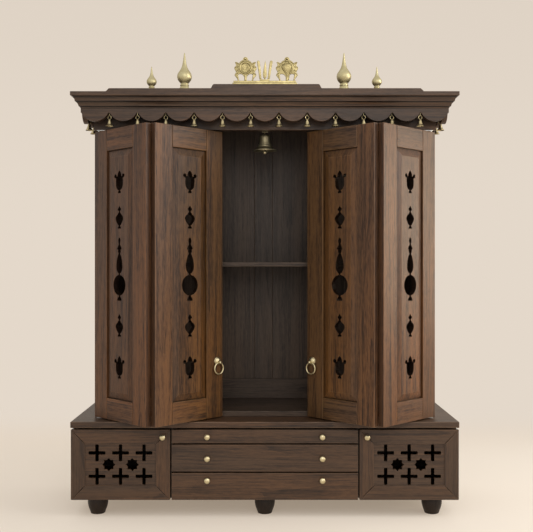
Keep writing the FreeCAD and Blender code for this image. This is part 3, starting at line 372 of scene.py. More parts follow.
def metalFinish(name, look):
    material = newMaterial(name)
    w = Wires(material.node_tree)
    place = w.add("ShaderNodeTexCoord")
    tarnish = w.add("ShaderNodeGroup", node_tree=tarnishGroup)
    w.feed(tarnish.inputs["Point"], place.outputs["Object"])
    color = tarnish.outputs["Color"]
    if "paintedShade" in look:  # painted shade: faces turned away from the front are painted a darker colour
        facing = w.math("ABSOLUTE", w.add("ShaderNodeSeparateXYZ", {0: place.outputs["Normal"]}).outputs["Y"])
        color = w.blend(w.ranged(facing, 0.90, 0.40), color, (*look["paintedShade"], 1))
    tarnish.inputs["Bright"].default_value = (*look["bright"], 1)
    tarnish.inputs["Dull"].default_value = (*look["dull"], 1)
    tarnish.inputs["Amount"].default_value = look["tarnish"]
    tarnish.inputs["Satin"].default_value = look["rough"]
    bump = w.add("ShaderNodeBump", {
        "Height": tarnish.outputs["Height"], "Strength": look["relief"], "Distance": 0.0004})
    metal = w.add("ShaderNodeBsdfPrincipled", {
        "Base Color": color,
        "Metallic": look.get("metallic", 1.0),
        "Roughness": tarnish.outputs["Roughness"],
        "Normal": bump.outputs[0],
    })
    w.feed(w.add("ShaderNodeOutputMaterial").inputs["Surface"], metal.outputs[0])
    return material


woodLooks = {
    "walnutFronts": {
        "dark": (0.014, 0.007, 0.004), "middle": (0.065, 0.035, 0.0185), "warm": (0.087, 0.041, 0.018),
        "rubbed": (0.145, 0.090, 0.055), "ringWidth": 0.011, "contrast": 1.1, "bands": 0.8,
        "relief": 0.3, "shine": 0.30, "coat": 0.12, "coatRoughness": 0.30},
    "walnutLeaves": {
        "dark": (0.018, 0.008, 0.004), "middle": (0.076, 0.041, 0.0225), "warm": (0.116, 0.053, 0.020),
        "rubbed": (0.21, 0.130, 0.078), "ringWidth": 0.010, "contrast": 1.2, "bands": 1.3,
        "relief": 0.3, "shine": 0.26, "coat": 0.07, "coatRoughness": 0.26,
        # painted light on the leaves, set by distance from the middle
        "outerTint": (1.02, 0.86, 0.70), "foldPaintedLight": (1.10, 1.04, 1.00), "innerTint": (1.06, 0.95, 0.60),
        "outerRange": (0.375, 0.40), "innerRange": (0.350, 0.25)},
    "walnutInside": {
        "dark": (0.017, 0.011, 0.008), "middle": (0.063, 0.043, 0.031), "warm": (0.073, 0.045, 0.028),
        "rubbed": (0.12, 0.085, 0.060), "ringWidth": 0.012, "contrast": 1.1, "bands": 1.0,
        "relief": 0.3, "shine": 0.25, "coat": 0.05, "coatRoughness": 0.4},
    "walnutFeet": {
        "dark": (0.007, 0.004, 0.003), "middle": (0.020, 0.0125, 0.008), "warm": (0.025, 0.014, 0.008),
        "rubbed": (0.05, 0.035, 0.025), "ringWidth": 0.011, "contrast": 0.7, "bands": 0.5,
        "relief": 0.25, "shine": 0.22, "coat": 0.06, "coatRoughness": 0.3},
}
metalLooks = {
    "paleBrass": {
        "bright": (0.66, 0.58, 0.37), "dull": (0.46, 0.37, 0.20),
        "tarnish": 0.5, "rough": 0.38, "relief": 0.15},
    "finialBrass": {
        "bright": (0.50, 0.45, 0.27), "dull": (0.38, 0.32, 0.17),
        "tarnish": 0.6, "rough": 0.46, "relief": 0.12},
    "smallBellBrass": {
        "bright": (0.54, 0.46, 0.27), "dull": (0.27, 0.21, 0.11),
        "tarnish": 0.8, "rough": 0.32, "relief": 0.15},
    "emblemBrass": {
        "bright": (0.52, 0.44, 0.22), "dull": (0.30, 0.24, 0.11), "paintedShade": (0.13, 0.10, 0.04),
        "tarnish": 0.8, "rough": 0.42, "relief": 0.2},
    "bellBrass": {
        "bright": (0.58, 0.50, 0.31), "dull": (0.30, 0.265, 0.16), "paintedShade": (0.23, 0.205, 0.13),
        "tarnish": 0.7, "rough": 0.34, "relief": 0.25, "metallic": 0.85},
    "hingeSteel": {
        "bright": (0.60, 0.60, 0.58), "dull": (0.42, 0.41, 0.39),
        "tarnish": 0.4, "rough": 0.30, "relief": 0.1},
    "hingeBronze": {
        "bright": (0.060, 0.038, 0.024), "dull": (0.030, 0.020, 0.014),
        "tarnish": 0.6, "rough": 0.45, "relief": 0.1},
}
finishes = {name: woodFinish(name, look) for name, look in woodLooks.items()}
finishes.update({name: metalFinish(name, look) for name, look in metalLooks.items()})
print("finishes made:", len(finishes))


# mesh helpers

xAxis, yAxis, zAxis = Vector((1, 0, 0)), Vector((0, 1, 0)), Vector((0, 0, 1))


# Put a finished mesh into the scene: it rides on a body and stands for CAD nodes.
def addPiece(name, mesh, finish, body, nodes=()):
    piece = bpy.data.objects.new(name, mesh)
    bpy.context.scene.collection.objects.link(piece)
    mesh.materials.clear()
    mesh.materials.append(finishes[finish])
    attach(piece, body)
    if nodes:
        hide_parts(*nodes)
    return piece


def toMesh(bm, name, smooth=None):
    bmesh.ops.recalc_face_normals(bm, faces=bm.faces)
    mesh = bpy.data.meshes.new(name)
    bm.to_mesh(mesh)
    bm.free()
    if smooth is not None:
        mesh.polygons.foreach_set("use_smooth", [True] * len(mesh.polygons))
        mesh.set_sharp_from_angle(angle=math.radians(smooth))
    return mesh


def addCast(name, bm, smooth, finish, body, nodes=()):
    addPiece(name, toMesh(bm, name, smooth), finish, body, nodes)


# Points from start to end, the start left out, along an arc whose quarter angle has this tangent.
def arcPoints(start, end, bulge, steps):
    if not bulge:
        return [end]
    (x0, y0), (x1, y1) = start, end
    half = math.hypot(x1 - x0, y1 - y0) / 2
    turn = 4 * math.atan(bulge)
    radius = half / math.sin(turn / 2)
    rise = radius * math.cos(turn / 2)
    cx = (x0 + x1) / 2 - (y1 - y0) / (2 * half) * rise
    cy = (y0 + y1) / 2 + (x1 - x0) / (2 * half) * rise
    first = math.atan2(y0 - cy, x0 - cx)
    size = abs(radius)
    points = [(cx + size * math.cos(first + turn * k / steps), cy + size * math.sin(first + turn * k / steps))
              for k in range(1, steps)]
    return points + [end]


# An open outline from rows (x, y) or (x, y, bulge).
def outlinePoints(rows, steps=8):
    points = [tuple(rows[0][:2])]
    for before, row in zip(rows, rows[1:]):
        points += arcPoints(tuple(before[:2]), tuple(row[:2]), row[2] if len(row) > 2 else 0, steps)
    return points


# A closed outline from the right half, given from bottom to top with both ends on the axis.
def mirroredOutline(rows, steps=8):
    right = outlinePoints(rows, steps)
    left = [(-x, y) for x, y in reversed(right[1:-1])]
    return right + left


# A line through all points (Catmull-Rom); a point given twice stays a corner.
def smoothLine(points, perSpan=4):
    runs, run = [], [points[0]]
    for point in points[1:]:
        if point == run[-1]:
            runs.append(run)
            run = [point]
        else:
            run.append(point)
    runs.append(run)
    line = [points[0]]
    for run in runs:
        if len(run) < 2:
            continue
        ends = [run[0]] + run + [run[-1]]
        for number in range(1, len(ends) - 2):
            p0, p1, p2, p3 = (Vector(ends[number + k]) for k in (-1, 0, 1, 2))
            steps = perSpan if len(run) > 2 else 1
            for step in range(1, steps + 1):
                t = step / steps
                line.append(tuple(0.5 * ((2 * p1) + (p2 - p0) * t + (2 * p0 - 5 * p1 + 4 * p2 - p3) * t * t
                                         + (3 * p1 - p0 - 3 * p2 + p3) * t ** 3)))
    return line


# A closed turned shape from (radius, height) points that begin and end on the axis.
def turnedMesh(name, line, steps=32, smooth=40):
    bm = bmesh.new()
    rows = []
    for radius, height in line:
        if radius < 1e-6:
            rows.append([bm.verts.new((0, 0, height))])
        else:
            rows.append([bm.verts.new((radius * math.cos(math.tau * k / steps),
                                       radius * math.sin(math.tau * k / steps), height))
                         for k in range(steps)])
    for low, high in zip(rows, rows[1:]):
        for k in range(steps):
            after = (k + 1) % steps
            corners = [low[k % len(low)], low[after % len(low)], high[after % len(high)], high[k % len(high)]]
            face = list(dict.fromkeys(corners))
            if len(face) > 2:
                bm.faces.new(face)
    return toMesh(bm, name, smooth)


# The points of a circle, from the first axis towards the second.
def circlePath(centre, first, second, radius, count):
    turns = [math.tau * k / count for k in range(count)]
    return [Vector(centre) + (first * math.cos(a) + second * math.sin(a)) * radius for a in turns]


# A round or flattened tube along a path; radii has one value or one for each point.
def tube(bm, path, radii, steps=10, closed=False, flatten=1.0, side=None):
    path = [Vector(p) for p in path]
    count = len(path)
    radii = radii if isinstance(radii, (list, tuple)) else [radii] * count
    rings = []
    across = None
    for number, point in enumerate(path):
        before = path[(number - 1) % count] if closed or number else point
        after = path[(number + 1) % count] if closed or number < count - 1 else point
        along = (after - before).normalized()
        if across is None:
            guide = Vector(side) if side else (xAxis if abs(along.x) < 0.8 else yAxis)
            across = along.cross(guide).normalized()
        across = (across - along * across.dot(along)).normalized()
        up = along.cross(across)
        wide, tall = across * radii[number] * flatten, up * radii[number]
        rings.append([bm.verts.new(point + wide * math.cos(math.tau * k / steps)
                                   + tall * math.sin(math.tau * k / steps)) for k in range(steps)])
    pairs = list(zip(rings, rings[1:])) + ([(rings[-1], rings[0])] if closed else [])
    for low, high in pairs:
        for k in range(steps):
            bm.faces.new([low[k], low[(k + 1) % steps], high[(k + 1) % steps], high[k]])
    if not closed:
        bm.faces.new(list(reversed(rings[0])))
        bm.faces.new(rings[-1])


# Keep large faces evenly lit beside their small bevels.
def flatFaced(mesh):
    name = mesh.name
    blank = bpy.data.objects.new(name + "Blank", mesh)
    bpy.context.scene.collection.objects.link(blank)
    weighted = blank.modifiers.new("weigh", "WEIGHTED_NORMAL")
    weighted.keep_sharp = True
    weighted.weight = 100
    bpy.context.view_layer.update()
    result = bpy.data.meshes.new_from_object(blank.evaluated_get(bpy.context.evaluated_depsgraph_get()))
    bpy.data.objects.remove(blank)
    bpy.data.meshes.remove(mesh)
    result.name = name
    return result


# Join a copy of a mesh, moved by the matrix, to the bmesh.
def addMesh(bm, mesh, matrix=None):
    copy = mesh.copy()
    if matrix is not None:
        copy.transform(matrix)
        if matrix.determinant() < 0:
            copy.flip_normals()
    bm.from_mesh(copy)
    bpy.data.meshes.remove(copy)


# boards: every one has its own place in the log and softened edges

# Collects boards into one mesh, each with its own grain and slightly worn edges.
class Joinery:
    def __init__(self, seed):
        self.bm = bmesh.new()
        self.random = random.Random(seed)

    # How the board lies in the log: its length along x, then a shift and a slight lean.
    def grainOf(self, along, size):
        order = sorted((axis for axis in range(3) if axis != along), key=lambda axis: -size[axis])
        rows = [[1.0 if axis == pick else 0.0 for axis in range(3)] for pick in (along, *order)]
        lean = Matrix.Rotation(self.random.uniform(-0.022, 0.022), 3, "Y")
        lean = lean @ Matrix.Rotation(self.random.uniform(-0.008, 0.008), 3, "Z")
        shift = Vector((self.random.uniform(-20, 20), self.random.uniform(-0.05, 0.05),
                        self.random.choice((-1, 1)) * self.random.uniform(0.03, 0.14)))
        return lean @ Matrix(rows), shift

    # A board from an outline in x and z, between two depths in y; along is the grain's axis.
    def prism(self, outline, low, high, along=0, place=None, bevel=0.0012, segments=2, sunk=None):
        bm = bmesh.new()
        front = [bm.verts.new((x, low, z)) for x, z in outline]
        rear = [bm.verts.new((x, high, z)) for x, z in outline]
        bm.faces.new(front)
        bm.faces.new(list(reversed(rear)))
        count = len(outline)
        for k in range(count):
            bm.faces.new([front[k], rear[k], rear[(k + 1) % count], front[(k + 1) % count]])
        self.finish(bm, along, place, bevel, segments, sunk=sunk)

    def box(self, low, high, along=0, place=None, bevel=0.0012, segments=2, sunk=None):
        outline = [(low[0], low[2]), (high[0], low[2]), (high[0], high[2]), (low[0], high[2])]
        self.prism(outline, low[1], high[1], along, place, bevel, segments, sunk)

    def finish(self, bm, along, place, bevel, segments, crease=28, sunk=None):
        bmesh.ops.recalc_face_normals(bm, faces=bm.faces)
        wearDarkLayer = bm.verts.layers.float.new("edgeWear")
        if bevel:
            edges = [e for e in bm.edges if e.calc_face_angle(0) > math.radians(crease)]
            made = bmesh.ops.bevel(bm, geom=edges, offset=bevel, segments=segments, profile=0.5,
                                   affect="EDGES", clamp_overlap=True)
            fresh = set(made["faces"])
            for vert in made["verts"]:
                if all(face in fresh for face in vert.link_faces):
                    vert[wearDarkLayer] = 1.0
        # painted shade: a darkening that is given replaces the wear mark with a negative value
        for vert in bm.verts if sunk else ():
            vert[wearDarkLayer] = -sunk(vert.co) or vert[wearDarkLayer]
        points = [v.co for v in bm.verts]
        size = [max(p[k] for p in points) - min(p[k] for p in points) for k in range(3)]
        middle = Vector([(max(p[k] for p in points) + min(p[k] for p in points)) / 2 for k in range(3)])
        turn, shift = self.grainOf(along, size)
        layer = bm.verts.layers.float_vector.new("grainPoint")
        for vert in bm.verts:
            vert[layer] = turn @ (vert.co - middle) + shift
        mesh = bpy.data.meshes.new("board")
        bm.to_mesh(mesh)
        bm.free()
        if place is not None:
            mesh.transform(place)
        self.bm.from_mesh(mesh)
        bpy.data.meshes.remove(mesh)

    # Take in a mesh made elsewhere, such as a pierced plate, as one board.
    def adopt(self, mesh, along=0, place=None, bevel=0.0008, segments=1, crease=28, sunk=None):
        bm = bmesh.new()
        bm.from_mesh(mesh)
        self.finish(bm, along, place, bevel, segments, crease, sunk)

    def done(self, name):
        return flatFaced(toMesh(self.bm, name, 50))

    # All boards so far become one piece of the scene.
    def piece(self, name, finish, slotName, body, nodes):
        addPiece(name, self.done(name), finish, body, nodes)


# A wide board glued up from several narrower ones, side by side along the split axis.
def gluedBoards(joinery, low, high, along, split, count, bevel=0.0012):
    widths = [joinery.random.uniform(0.8, 1.25) for _ in range(count)]
    step = (high[split] - low[split]) / sum(widths)
    start = low[split]
    for width in widths:
        first, last = list(low), list(high)
        first[split] = start
        start += width * step
        last[split] = start
        joinery.box(first, last, along, bevel=bevel)


# Geometry Nodes trees

# A geometry tree with named inputs and a mesh in and out.
def newTree(name, inputs):
    tree = bpy.data.node_groups.new(name, "GeometryNodeTree")
    tree.interface.new_socket(name="Geometry", in_out="OUTPUT", socket_type="NodeSocketGeometry")
    tree.interface.new_socket(name="Geometry", in_out="INPUT", socket_type="NodeSocketGeometry")
    for label, kind, value in inputs:
        socket = tree.interface.new_socket(name=label, in_out="INPUT", socket_type="NodeSocket" + kind)
        if value is not None:
            socket.default_value = value
    source, result = tree.nodes.new("NodeGroupInput"), tree.nodes.new("NodeGroupOutput")
    return tree, Wires(tree), source.outputs, result.inputs


# End a tree with real geometry and its finish.
def closeTree(w, geometry, material, result):
    real = w.add("GeometryNodeRealizeInstances", {"Geometry": geometry}).outputs[0]
    dressed = w.add("GeometryNodeSetMaterial", {"Geometry": real, "Material": material})
    w.feed(result["Geometry"], dressed.outputs[0])


# Run a geometry tree on a mesh and give back the result as a plain mesh.
def grown(name, mesh, tree, values):
    seed = bpy.data.objects.new(name + "Seed", mesh)
    bpy.context.scene.collection.objects.link(seed)
    modifier = seed.modifiers.new("grow", "NODES")
    modifier.node_group = tree
    for item in tree.interface.items_tree:
        if item.item_type == "SOCKET" and item.in_out == "INPUT" and item.name in values:
            modifier[item.identifier] = values[item.name]
    seed.update_tag()
    bpy.context.view_layer.update()
    shaped = seed.evaluated_get(bpy.context.evaluated_depsgraph_get())
    result = bpy.data.meshes.new_from_object(shaped)
    result.name = name
    seed.modifiers.remove(modifier)
    bpy.data.objects.remove(seed)
    return result


# Fill closed outlines, holes among them, and give the plate its thickness.
def makePlateTree():
    tree, w, source, result = newTree("plateFromOutlines", [
        ("Thickness", "Float", 0.008), ("Finish", "Material", None)])
    line = w.add("GeometryNodeMeshToCurve", {"Mesh": source["Geometry"]}).outputs[0]
    sheet = w.add("GeometryNodeFillCurve", {"Curve": line})
    if "Mode" in sheet.inputs:
        sheet.inputs["Mode"].default_value = "N-gons"
    else:
        sheet.mode = "NGONS"
    flat = sheet.outputs[0]
    raised = w.add("GeometryNodeExtrudeMesh", {
        "Mesh": flat, "Offset Scale": source["Thickness"], "Individual": False}).outputs["Mesh"]
    under = w.add("GeometryNodeFlipFaces", {"Mesh": flat}).outputs[0]
    both = w.add("GeometryNodeJoinGeometry")
    w.feed(both.inputs[0], raised)
    w.feed(both.inputs[0], under)
    whole = w.add("GeometryNodeMergeByDistance", {"Geometry": both.outputs[0], "Distance": 0.00005})
    closeTree(w, whole.outputs[0], source["Finish"], result)
    return tree


# Lay two cut-outs out in rows and columns inside an outline, as a pierced screen.
def makePatternTree():
    tree, w, source, result = newTree("piercedScreen", [
        ("Cross", "Object", None), ("Star", "Object", None),
        ("Columns", "Int", 3), ("Rows", "Int", 2),
        ("Column Pitch", "Float", 0.083), ("Row Pitch", "Float", 0.083),
        ("Thickness", "Float", 0.009), ("Finish", "Material", None)])
    layers = w.add("GeometryNodeJoinGeometry")
    w.feed(layers.inputs[0], source["Geometry"])
    for label, less in (("Cross", 0), ("Star", 1)):
        counts = [w.math("SUBTRACT", source[axis], float(less)) for axis in ("Columns", "Rows")]
        spans = [w.math("MULTIPLY", w.math("SUBTRACT", count, 1.0), source[pitch])
                 for count, pitch in zip(counts, ("Column Pitch", "Row Pitch"))]
        grid = w.add("GeometryNodeMeshGrid", {
            "Vertices X": counts[0], "Vertices Y": w.math("MAXIMUM", counts[1], 1.0),
            "Size X": spans[0], "Size Y": spans[1]}).outputs["Mesh"]
        if less:
            line = w.add("GeometryNodeMeshLine", {"Count": counts[0]}, mode="OFFSET")
            start = w.add("ShaderNodeCombineXYZ", {"X": w.math("MULTIPLY", spans[0], -0.5)}).outputs[0]
            step = w.add("ShaderNodeCombineXYZ", {"X": source["Column Pitch"]}).outputs[0]
            w.feed(line.inputs["Start Location"], start)
            w.feed(line.inputs["Offset"], step)
            grid = line.outputs[0]
        shape = w.add("GeometryNodeObjectInfo", {"Object": source[label]}).outputs["Geometry"]
        copies = w.add("GeometryNodeInstanceOnPoints", {"Points": grid, "Instance": shape}).outputs[0]
        w.feed(layers.inputs[0], w.add("GeometryNodeRealizeInstances", {"Geometry": copies}).outputs[0])
    plate = w.add("GeometryNodeGroup", node_tree=plateTree)
    w.feed(plate.inputs["Geometry"], layers.outputs[0])
    w.feed(plate.inputs["Thickness"], source["Thickness"])
    w.feed(plate.inputs["Finish"], source["Finish"])
    closeTree(w, plate.outputs[0], source["Finish"], result)
    return tree


# A board whose lower edge hangs in equal scallops between notches.
def makeValanceTree():
    tree, w, source, result = newTree("scallopedBoard", [
        ("Width", "Float", 1.3), ("Drop", "Float", 0.046), ("Notch", "Float", 0.015),
        ("Notch Flat", "Float", 0.004), ("Scallops", "Int", 13), ("Steps", "Int", 28),
        ("Thickness", "Float", 0.018), ("Finish", "Material", None)])
    count = w.math("ADD", w.math("MULTIPLY", source["Scallops"], source["Steps"]), 1.0)
    grid = w.add("GeometryNodeMeshGrid", {
        "Size X": source["Width"], "Size Y": 1.0, "Vertices X": count, "Vertices Y": 2}).outputs["Mesh"]
    place = w.add("ShaderNodeSeparateXYZ", {0: w.add("GeometryNodeInputPosition").outputs[0]}).outputs
    pitch = w.math("DIVIDE", source["Width"], source["Scallops"])
    along = w.math("ADD", place["X"], w.math("MULTIPLY", source["Width"], 0.5))
    turn = w.math("FRACT", w.math("DIVIDE", along, pitch))
    away = w.math("MULTIPLY", w.math("ABSOLUTE", w.math("SUBTRACT", turn, 0.5)), pitch)
    half = w.math("MULTIPLY", w.math("SUBTRACT", pitch, source["Notch Flat"]), 0.5)
    away = w.math("MINIMUM", away, half)
    sag = w.math("SUBTRACT", source["Drop"], source["Notch"])
    squares = w.math("ADD", w.math("MULTIPLY", half, half), w.math("MULTIPLY", sag, sag))
    radius = w.math("DIVIDE", squares, w.math("MULTIPLY", sag, 2.0))
    chord = w.math("SUBTRACT", w.math("MULTIPLY", radius, radius), w.math("MULTIPLY", away, away))
    fall = w.math("SQRT", chord)
    depth = w.math("ADD", source["Notch"], w.math("SUBTRACT", fall, w.math("SUBTRACT", radius, sag)))
    lower = w.math("MULTIPLY", depth, w.math("LESS_THAN", place["Y"], 0.0))
    spot = w.add("ShaderNodeCombineXYZ", {"X": place["X"], "Z": w.math("MULTIPLY", lower, -1.0)})
    sheet = w.add("GeometryNodeSetPosition", {"Geometry": grid, "Position": spot.outputs[0]}).outputs[0]
    raised = w.add("GeometryNodeExtrudeMesh", {
        "Mesh": sheet, "Offset": (0.0, -1.0, 0.0), "Offset Scale": source["Thickness"],
        "Individual": False}).outputs["Mesh"]
    both = w.add("GeometryNodeJoinGeometry")
    w.feed(both.inputs[0], raised)
    w.feed(both.inputs[0], w.add("GeometryNodeFlipFaces", {"Mesh": sheet}).outputs[0])
    whole = w.add("GeometryNodeMergeByDistance", {"Geometry": both.outputs[0], "Distance": 0.00005})
    closeTree(w, whole.outputs[0], source["Finish"], result)
    return tree


# Set copies of one object on the points of a mesh, each turned a little differently.
def makeCopiesTree():
    tree, w, source, result = newTree("copiesOnPoints", [
        ("Copy", "Object", None), ("Turn Spread", "Float", 0.3), ("Tilt Spread", "Float", 0.0),
        ("Seed", "Int", 3), ("Finish", "Material", None)])
    shape = w.add("GeometryNodeObjectInfo", {"Object": source["Copy"]}).outputs["Geometry"]
    turn = w.add("FunctionNodeRandomValue", data_type="FLOAT_VECTOR")
    low = w.add("ShaderNodeCombineXYZ", {"X": w.math("MULTIPLY", source["Tilt Spread"], -1.0),
                                         "Z": w.math("MULTIPLY", source["Turn Spread"], -1.0)}).outputs[0]
    high = w.add("ShaderNodeCombineXYZ", {"X": source["Tilt Spread"], "Z": source["Turn Spread"]}).outputs[0]
    w.feed([s for s in turn.inputs if s.name == "Min" and s.enabled][0], low)
    w.feed([s for s in turn.inputs if s.name == "Max" and s.enabled][0], high)
    w.feed(turn.inputs["Seed"], source["Seed"])
    spin = [s for s in turn.outputs if s.enabled][0]
    copies = w.add("GeometryNodeInstanceOnPoints", {
        "Points": source["Geometry"], "Instance": shape, "Rotation": spin}).outputs[0]
    closeTree(w, copies, source["Finish"], result)
    return tree


plateTree = makePlateTree()
patternTree = makePatternTree()
valanceTree = makeValanceTree()
copiesTree = makeCopiesTree()
print("geometry trees made")


# Closed outlines as edges in the x-y plane.
def loopMesh(name, loops):
    points, edges = [], []
    for loop in loops:
        first = len(points)
        points += [(x, y, 0) for x, y in loop]
        edges += [(first + k, first + (k + 1) % len(loop)) for k in range(len(loop))]
    mesh = bpy.data.meshes.new(name)
    mesh.from_pydata(points, edges, [])
    return mesh


def copiesAt(name, mesh, places, finish, turnSpread=0.0, tiltSpread=0.0, seed=3):
    points = bpy.data.meshes.new(name + "Points")
    points.from_pydata([tuple(p) for p in places], [], [])
    pattern = bpy.data.objects.new(name + "Pattern", mesh)
    result = grown(name, points, copiesTree, {
        "Copy": pattern, "Turn Spread": turnSpread, "Tilt Spread": tiltSpread, "Seed": seed,
        "Finish": finishes[finish]})
    bpy.data.objects.remove(pattern)
    result.set_sharp_from_angle(angle=math.radians(40))
    return result


# base cabinet: feet, carcass, slab

feet = {
    "radius": 0.0365,
    "profile": [(0, 0), (0.0222, 0.0), (0.0255, 0.0014), (0.0268, 0.0052), (0.0292, 0.0120), (0.0326, 0.0210),
                (0.0350, 0.0300), (0.0364, 0.0395), (0.0363, 0.0470), (0.0352, 0.0550), (0.0342, 0.0615),
                (0.0338, 0.064), (0, 0.064)],
    "steps": 40,
}


def makeFeet():
    low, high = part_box("bun_feet")
    radius = feet["radius"]
    line = [feet["profile"][0]] + smoothLine(feet["profile"][1:-1], 3) + [feet["profile"][-1]]
    foot = turnedMesh("bunFoot", line, feet["steps"])
    bm = bmesh.new()
    bm.from_mesh(foot)
    wearDarkLayer = bm.verts.layers.float.new("edgeWear")
    layer = bm.verts.layers.float_vector.new("grainPoint")
    for vert in bm.verts:
        vert[layer] = (vert.co.z + 3.0, vert.co.x + 0.03, vert.co.y + 0.05)
        vert[wearDarkLayer] = 0.0
    bm.to_mesh(foot)
    bm.free()
    places = [(x, y, 0) for x in (low.x + radius, 0, high.x - radius)
              for y in (low.y + radius, high.y - radius)]
    mesh = copiesAt("bunFeet", foot, places, "walnutFeet", 3.1)
    addPiece("bunFeet", mesh, "walnutFeet", "cabinet", ["bun_feet"])


carcass = {
    "board": 0.020,
    "slabEdge": 0.0030,
}


# The left and the right wall of a box, each glued up from boards.
def boardPair(wood, low, high, along, split, count):
    board = carcass["board"]
    for x0, x1 in ((low.x, low.x + board), (high.x - board, high.x)):
        gluedBoards(wood, (x0, low.y, low.z), (x1, high.y, high.z), along, split, count)


def makeCarcass():
    wood = Joinery(11)
    low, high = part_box("base_bottom")
    gluedBoards(wood, low, high, 0, 1, 3)
    wood.piece("baseBottomBoards", "walnutInside", "walnut", "cabinet", ["base_bottom"])
    wood = Joinery(12)
    low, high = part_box("base_sides")
    boardPair(wood, low, high, 1, 2, 2)
    wood.piece("baseSideBoards", "walnutFronts", "walnut", "cabinet", ["base_sides"])
    wood = Joinery(13)
    low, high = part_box("base_partitions")
    boardPair(wood, low, high, 1, 2, 2)
    wood.piece("basePartitionBoards", "walnutInside", "walnut", "cabinet", ["base_partitions"])
    wood = Joinery(14)
    low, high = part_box("base_back")
    gluedBoards(wood, low, high, 0, 2, 2)
    wood.piece("baseBackBoards", "walnutInside", "walnut_inner", "cabinet", ["base_back"])
    wood = Joinery(15)
    low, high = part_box("counter_top")
    wood.box(low, high, 0, bevel=carcass["slabEdge"], segments=3)
    wood.piece("counterTopBoard", "walnutFronts", "walnut", "cabinet", ["counter_top"])


makeFeet()
makeCarcass()
print("base carcass made")


# knobs, drawers and base doors

knobLook = {
    "radius": 0.0105,
    "profile": [(0, 0), (0.0061, 0), (0.0061, 0.0012), (0.0048, 0.0030), (0.0045, 0.0062), (0.0056, 0.0088),
                (0.0088, 0.0114), (0.0104, 0.0140), (0.0104, 0.0158), (0.0089, 0.0186), (0.0057, 0.0206),
                (0.0022, 0.0216), (0, 0.0218)],
    "steps": 28,
}
knobMesh = turnedMesh("brassKnob", smoothLine(knobLook["profile"], 3), knobLook["steps"], 60)
knobMesh.transform(Matrix.Rotation(math.radians(90), 4, "X"))


def makeKnobs(name, node, body, sides):
    low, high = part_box(node)
    middle = (low.z + high.z) / 2
    radius = knobLook["radius"]
    places = [(low.x + radius, high.y, middle), (high.x - radius, high.y, middle)][:sides]
    mesh = copiesAt(name, knobMesh, places, "paleBrass")
    addPiece(name, mesh, "paleBrass", body, [node])


drawerLook = {
    "side": 0.012,
    "floor": 0.006,
    "floorLift": 0.0005,
    "groove": 0.004,
    "frontEdge": 0.0014,
    "boxEdge": 0.0010,
}


def makeDrawer(level, seed):
    body = "drawer_" + level
    wood = Joinery(seed)
    low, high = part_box("drawer_%s_front" % level)
    wood.box(low, high, 0, bevel=drawerLook["frontEdge"])
    wood.piece("drawerFront" + level.capitalize(), "walnutFronts", "walnut", body,
               ["drawer_%s_front" % level])
    wood = Joinery(seed + 1)
    low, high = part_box("drawer_%s_box" % level)
    side, groove, edge = drawerLook["side"], drawerLook["groove"], drawerLook["boxEdge"]
    lift = drawerLook["floorLift"]
    for x0, x1 in ((low.x, low.x + side), (high.x - side, high.x)):
        wood.box((x0, low.y, low.z), (x1, high.y, high.z), 1, bevel=edge)
    for y0, y1 in ((low.y, low.y + side), (high.y - side, high.y)):
        wood.box((low.x + side, y0, low.z), (high.x - side, y1, high.z), 0, bevel=edge)
    inset = side - groove
    wood.box((low.x + inset, low.y + inset, low.z + lift),
             (high.x - inset, high.y - inset, low.z + drawerLook["floor"]), 0, bevel=lift)
    wood.piece("drawerBox" + level.capitalize(), "walnutInside", "walnut_inner", body,
               ["drawer_%s_box" % level])
    makeKnobs("drawerKnobs" + level.capitalize(), "drawer_%s_knobs" % level, body, 2)


doorLook = {
    "frame": 0.050,
    "tongue": 0.008,
    "recess": 0.005,
    "mitreGap": 0.0021,
    "mitreClosed": 0.0002,
    "mitreTaper": 0.10,
    "crossLength": 0.0600,
    "crossArm": 0.0124,
    "starDiameter": 0.0476,
    "starWaist": 0.74,
    "panelLift": 0.0020,
    "cutEdge": 0.0007,
    "frameEdge": 0.0010,
    "columns": 3,
    "rows": 2,
    "pitch": 0.083,
}
quarterBulge = 0.414  # the bulge of a quarter circle in an outline


# A cross whose four arms have slightly rounded ends.
def crossOutline():
    arm, long = doorLook["crossArm"] / 2, doorLook["crossLength"] / 2
    quarter = [(arm, arm), (arm, long - arm * 0.5), (arm * 0.5, long, quarterBulge), (-arm * 0.5, long),
               (-arm, long - arm * 0.5, quarterBulge)]
    points = []
    for turn in range(4):
        c, s = round(math.cos(math.tau * turn / 4)), round(math.sin(math.tau * turn / 4))
        line = outlinePoints(quarter, 3)
        points += [(c * x - s * y, s * x + c * y) for x, y in line]
    return points


def starOutline():
    radius = doorLook["starDiameter"] / 2
    reach = (radius, radius * doorLook["starWaist"])
    return [(reach[k % 2] * math.cos(math.tau * k / 16), reach[k % 2] * math.sin(math.tau * k / 16))
            for k in range(16)]


# Two objects that only serve as patterns and stay out of the render.
crossPattern = bpy.data.objects.new("crossPattern", loopMesh("crossPattern", [crossOutline()]))
starPattern = bpy.data.objects.new("starPattern", loopMesh("starPattern", [starOutline()]))


def makeDoorPanel(name, node, seed):
    low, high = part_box(node)
    size = high - low
    half, tall = size.x / 2, size.z / 2
    rim = loopMesh(name + "Rim", [[(-half, -tall), (half, -tall), (half, tall), (-half, tall)]])
    plate = grown(name + "Plate", rim, patternTree, {
        "Cross": crossPattern, "Star": starPattern, "Columns": doorLook["columns"], "Rows": doorLook["rows"],
        "Column Pitch": doorLook["pitch"], "Row Pitch": doorLook["pitch"],
        "Thickness": size.y + doorLook["panelLift"],
        "Finish": finishes["walnutFronts"]})
    plate.transform(Matrix.Rotation(math.radians(90), 4, "X"))
    plate.transform(Matrix.Translation(((low.x + high.x) / 2, high.y, (low.z + high.z) / 2)))
    wood = Joinery(seed)
    wood.adopt(plate, 0, bevel=doorLook["cutEdge"], segments=2)
    return wood.done(name)


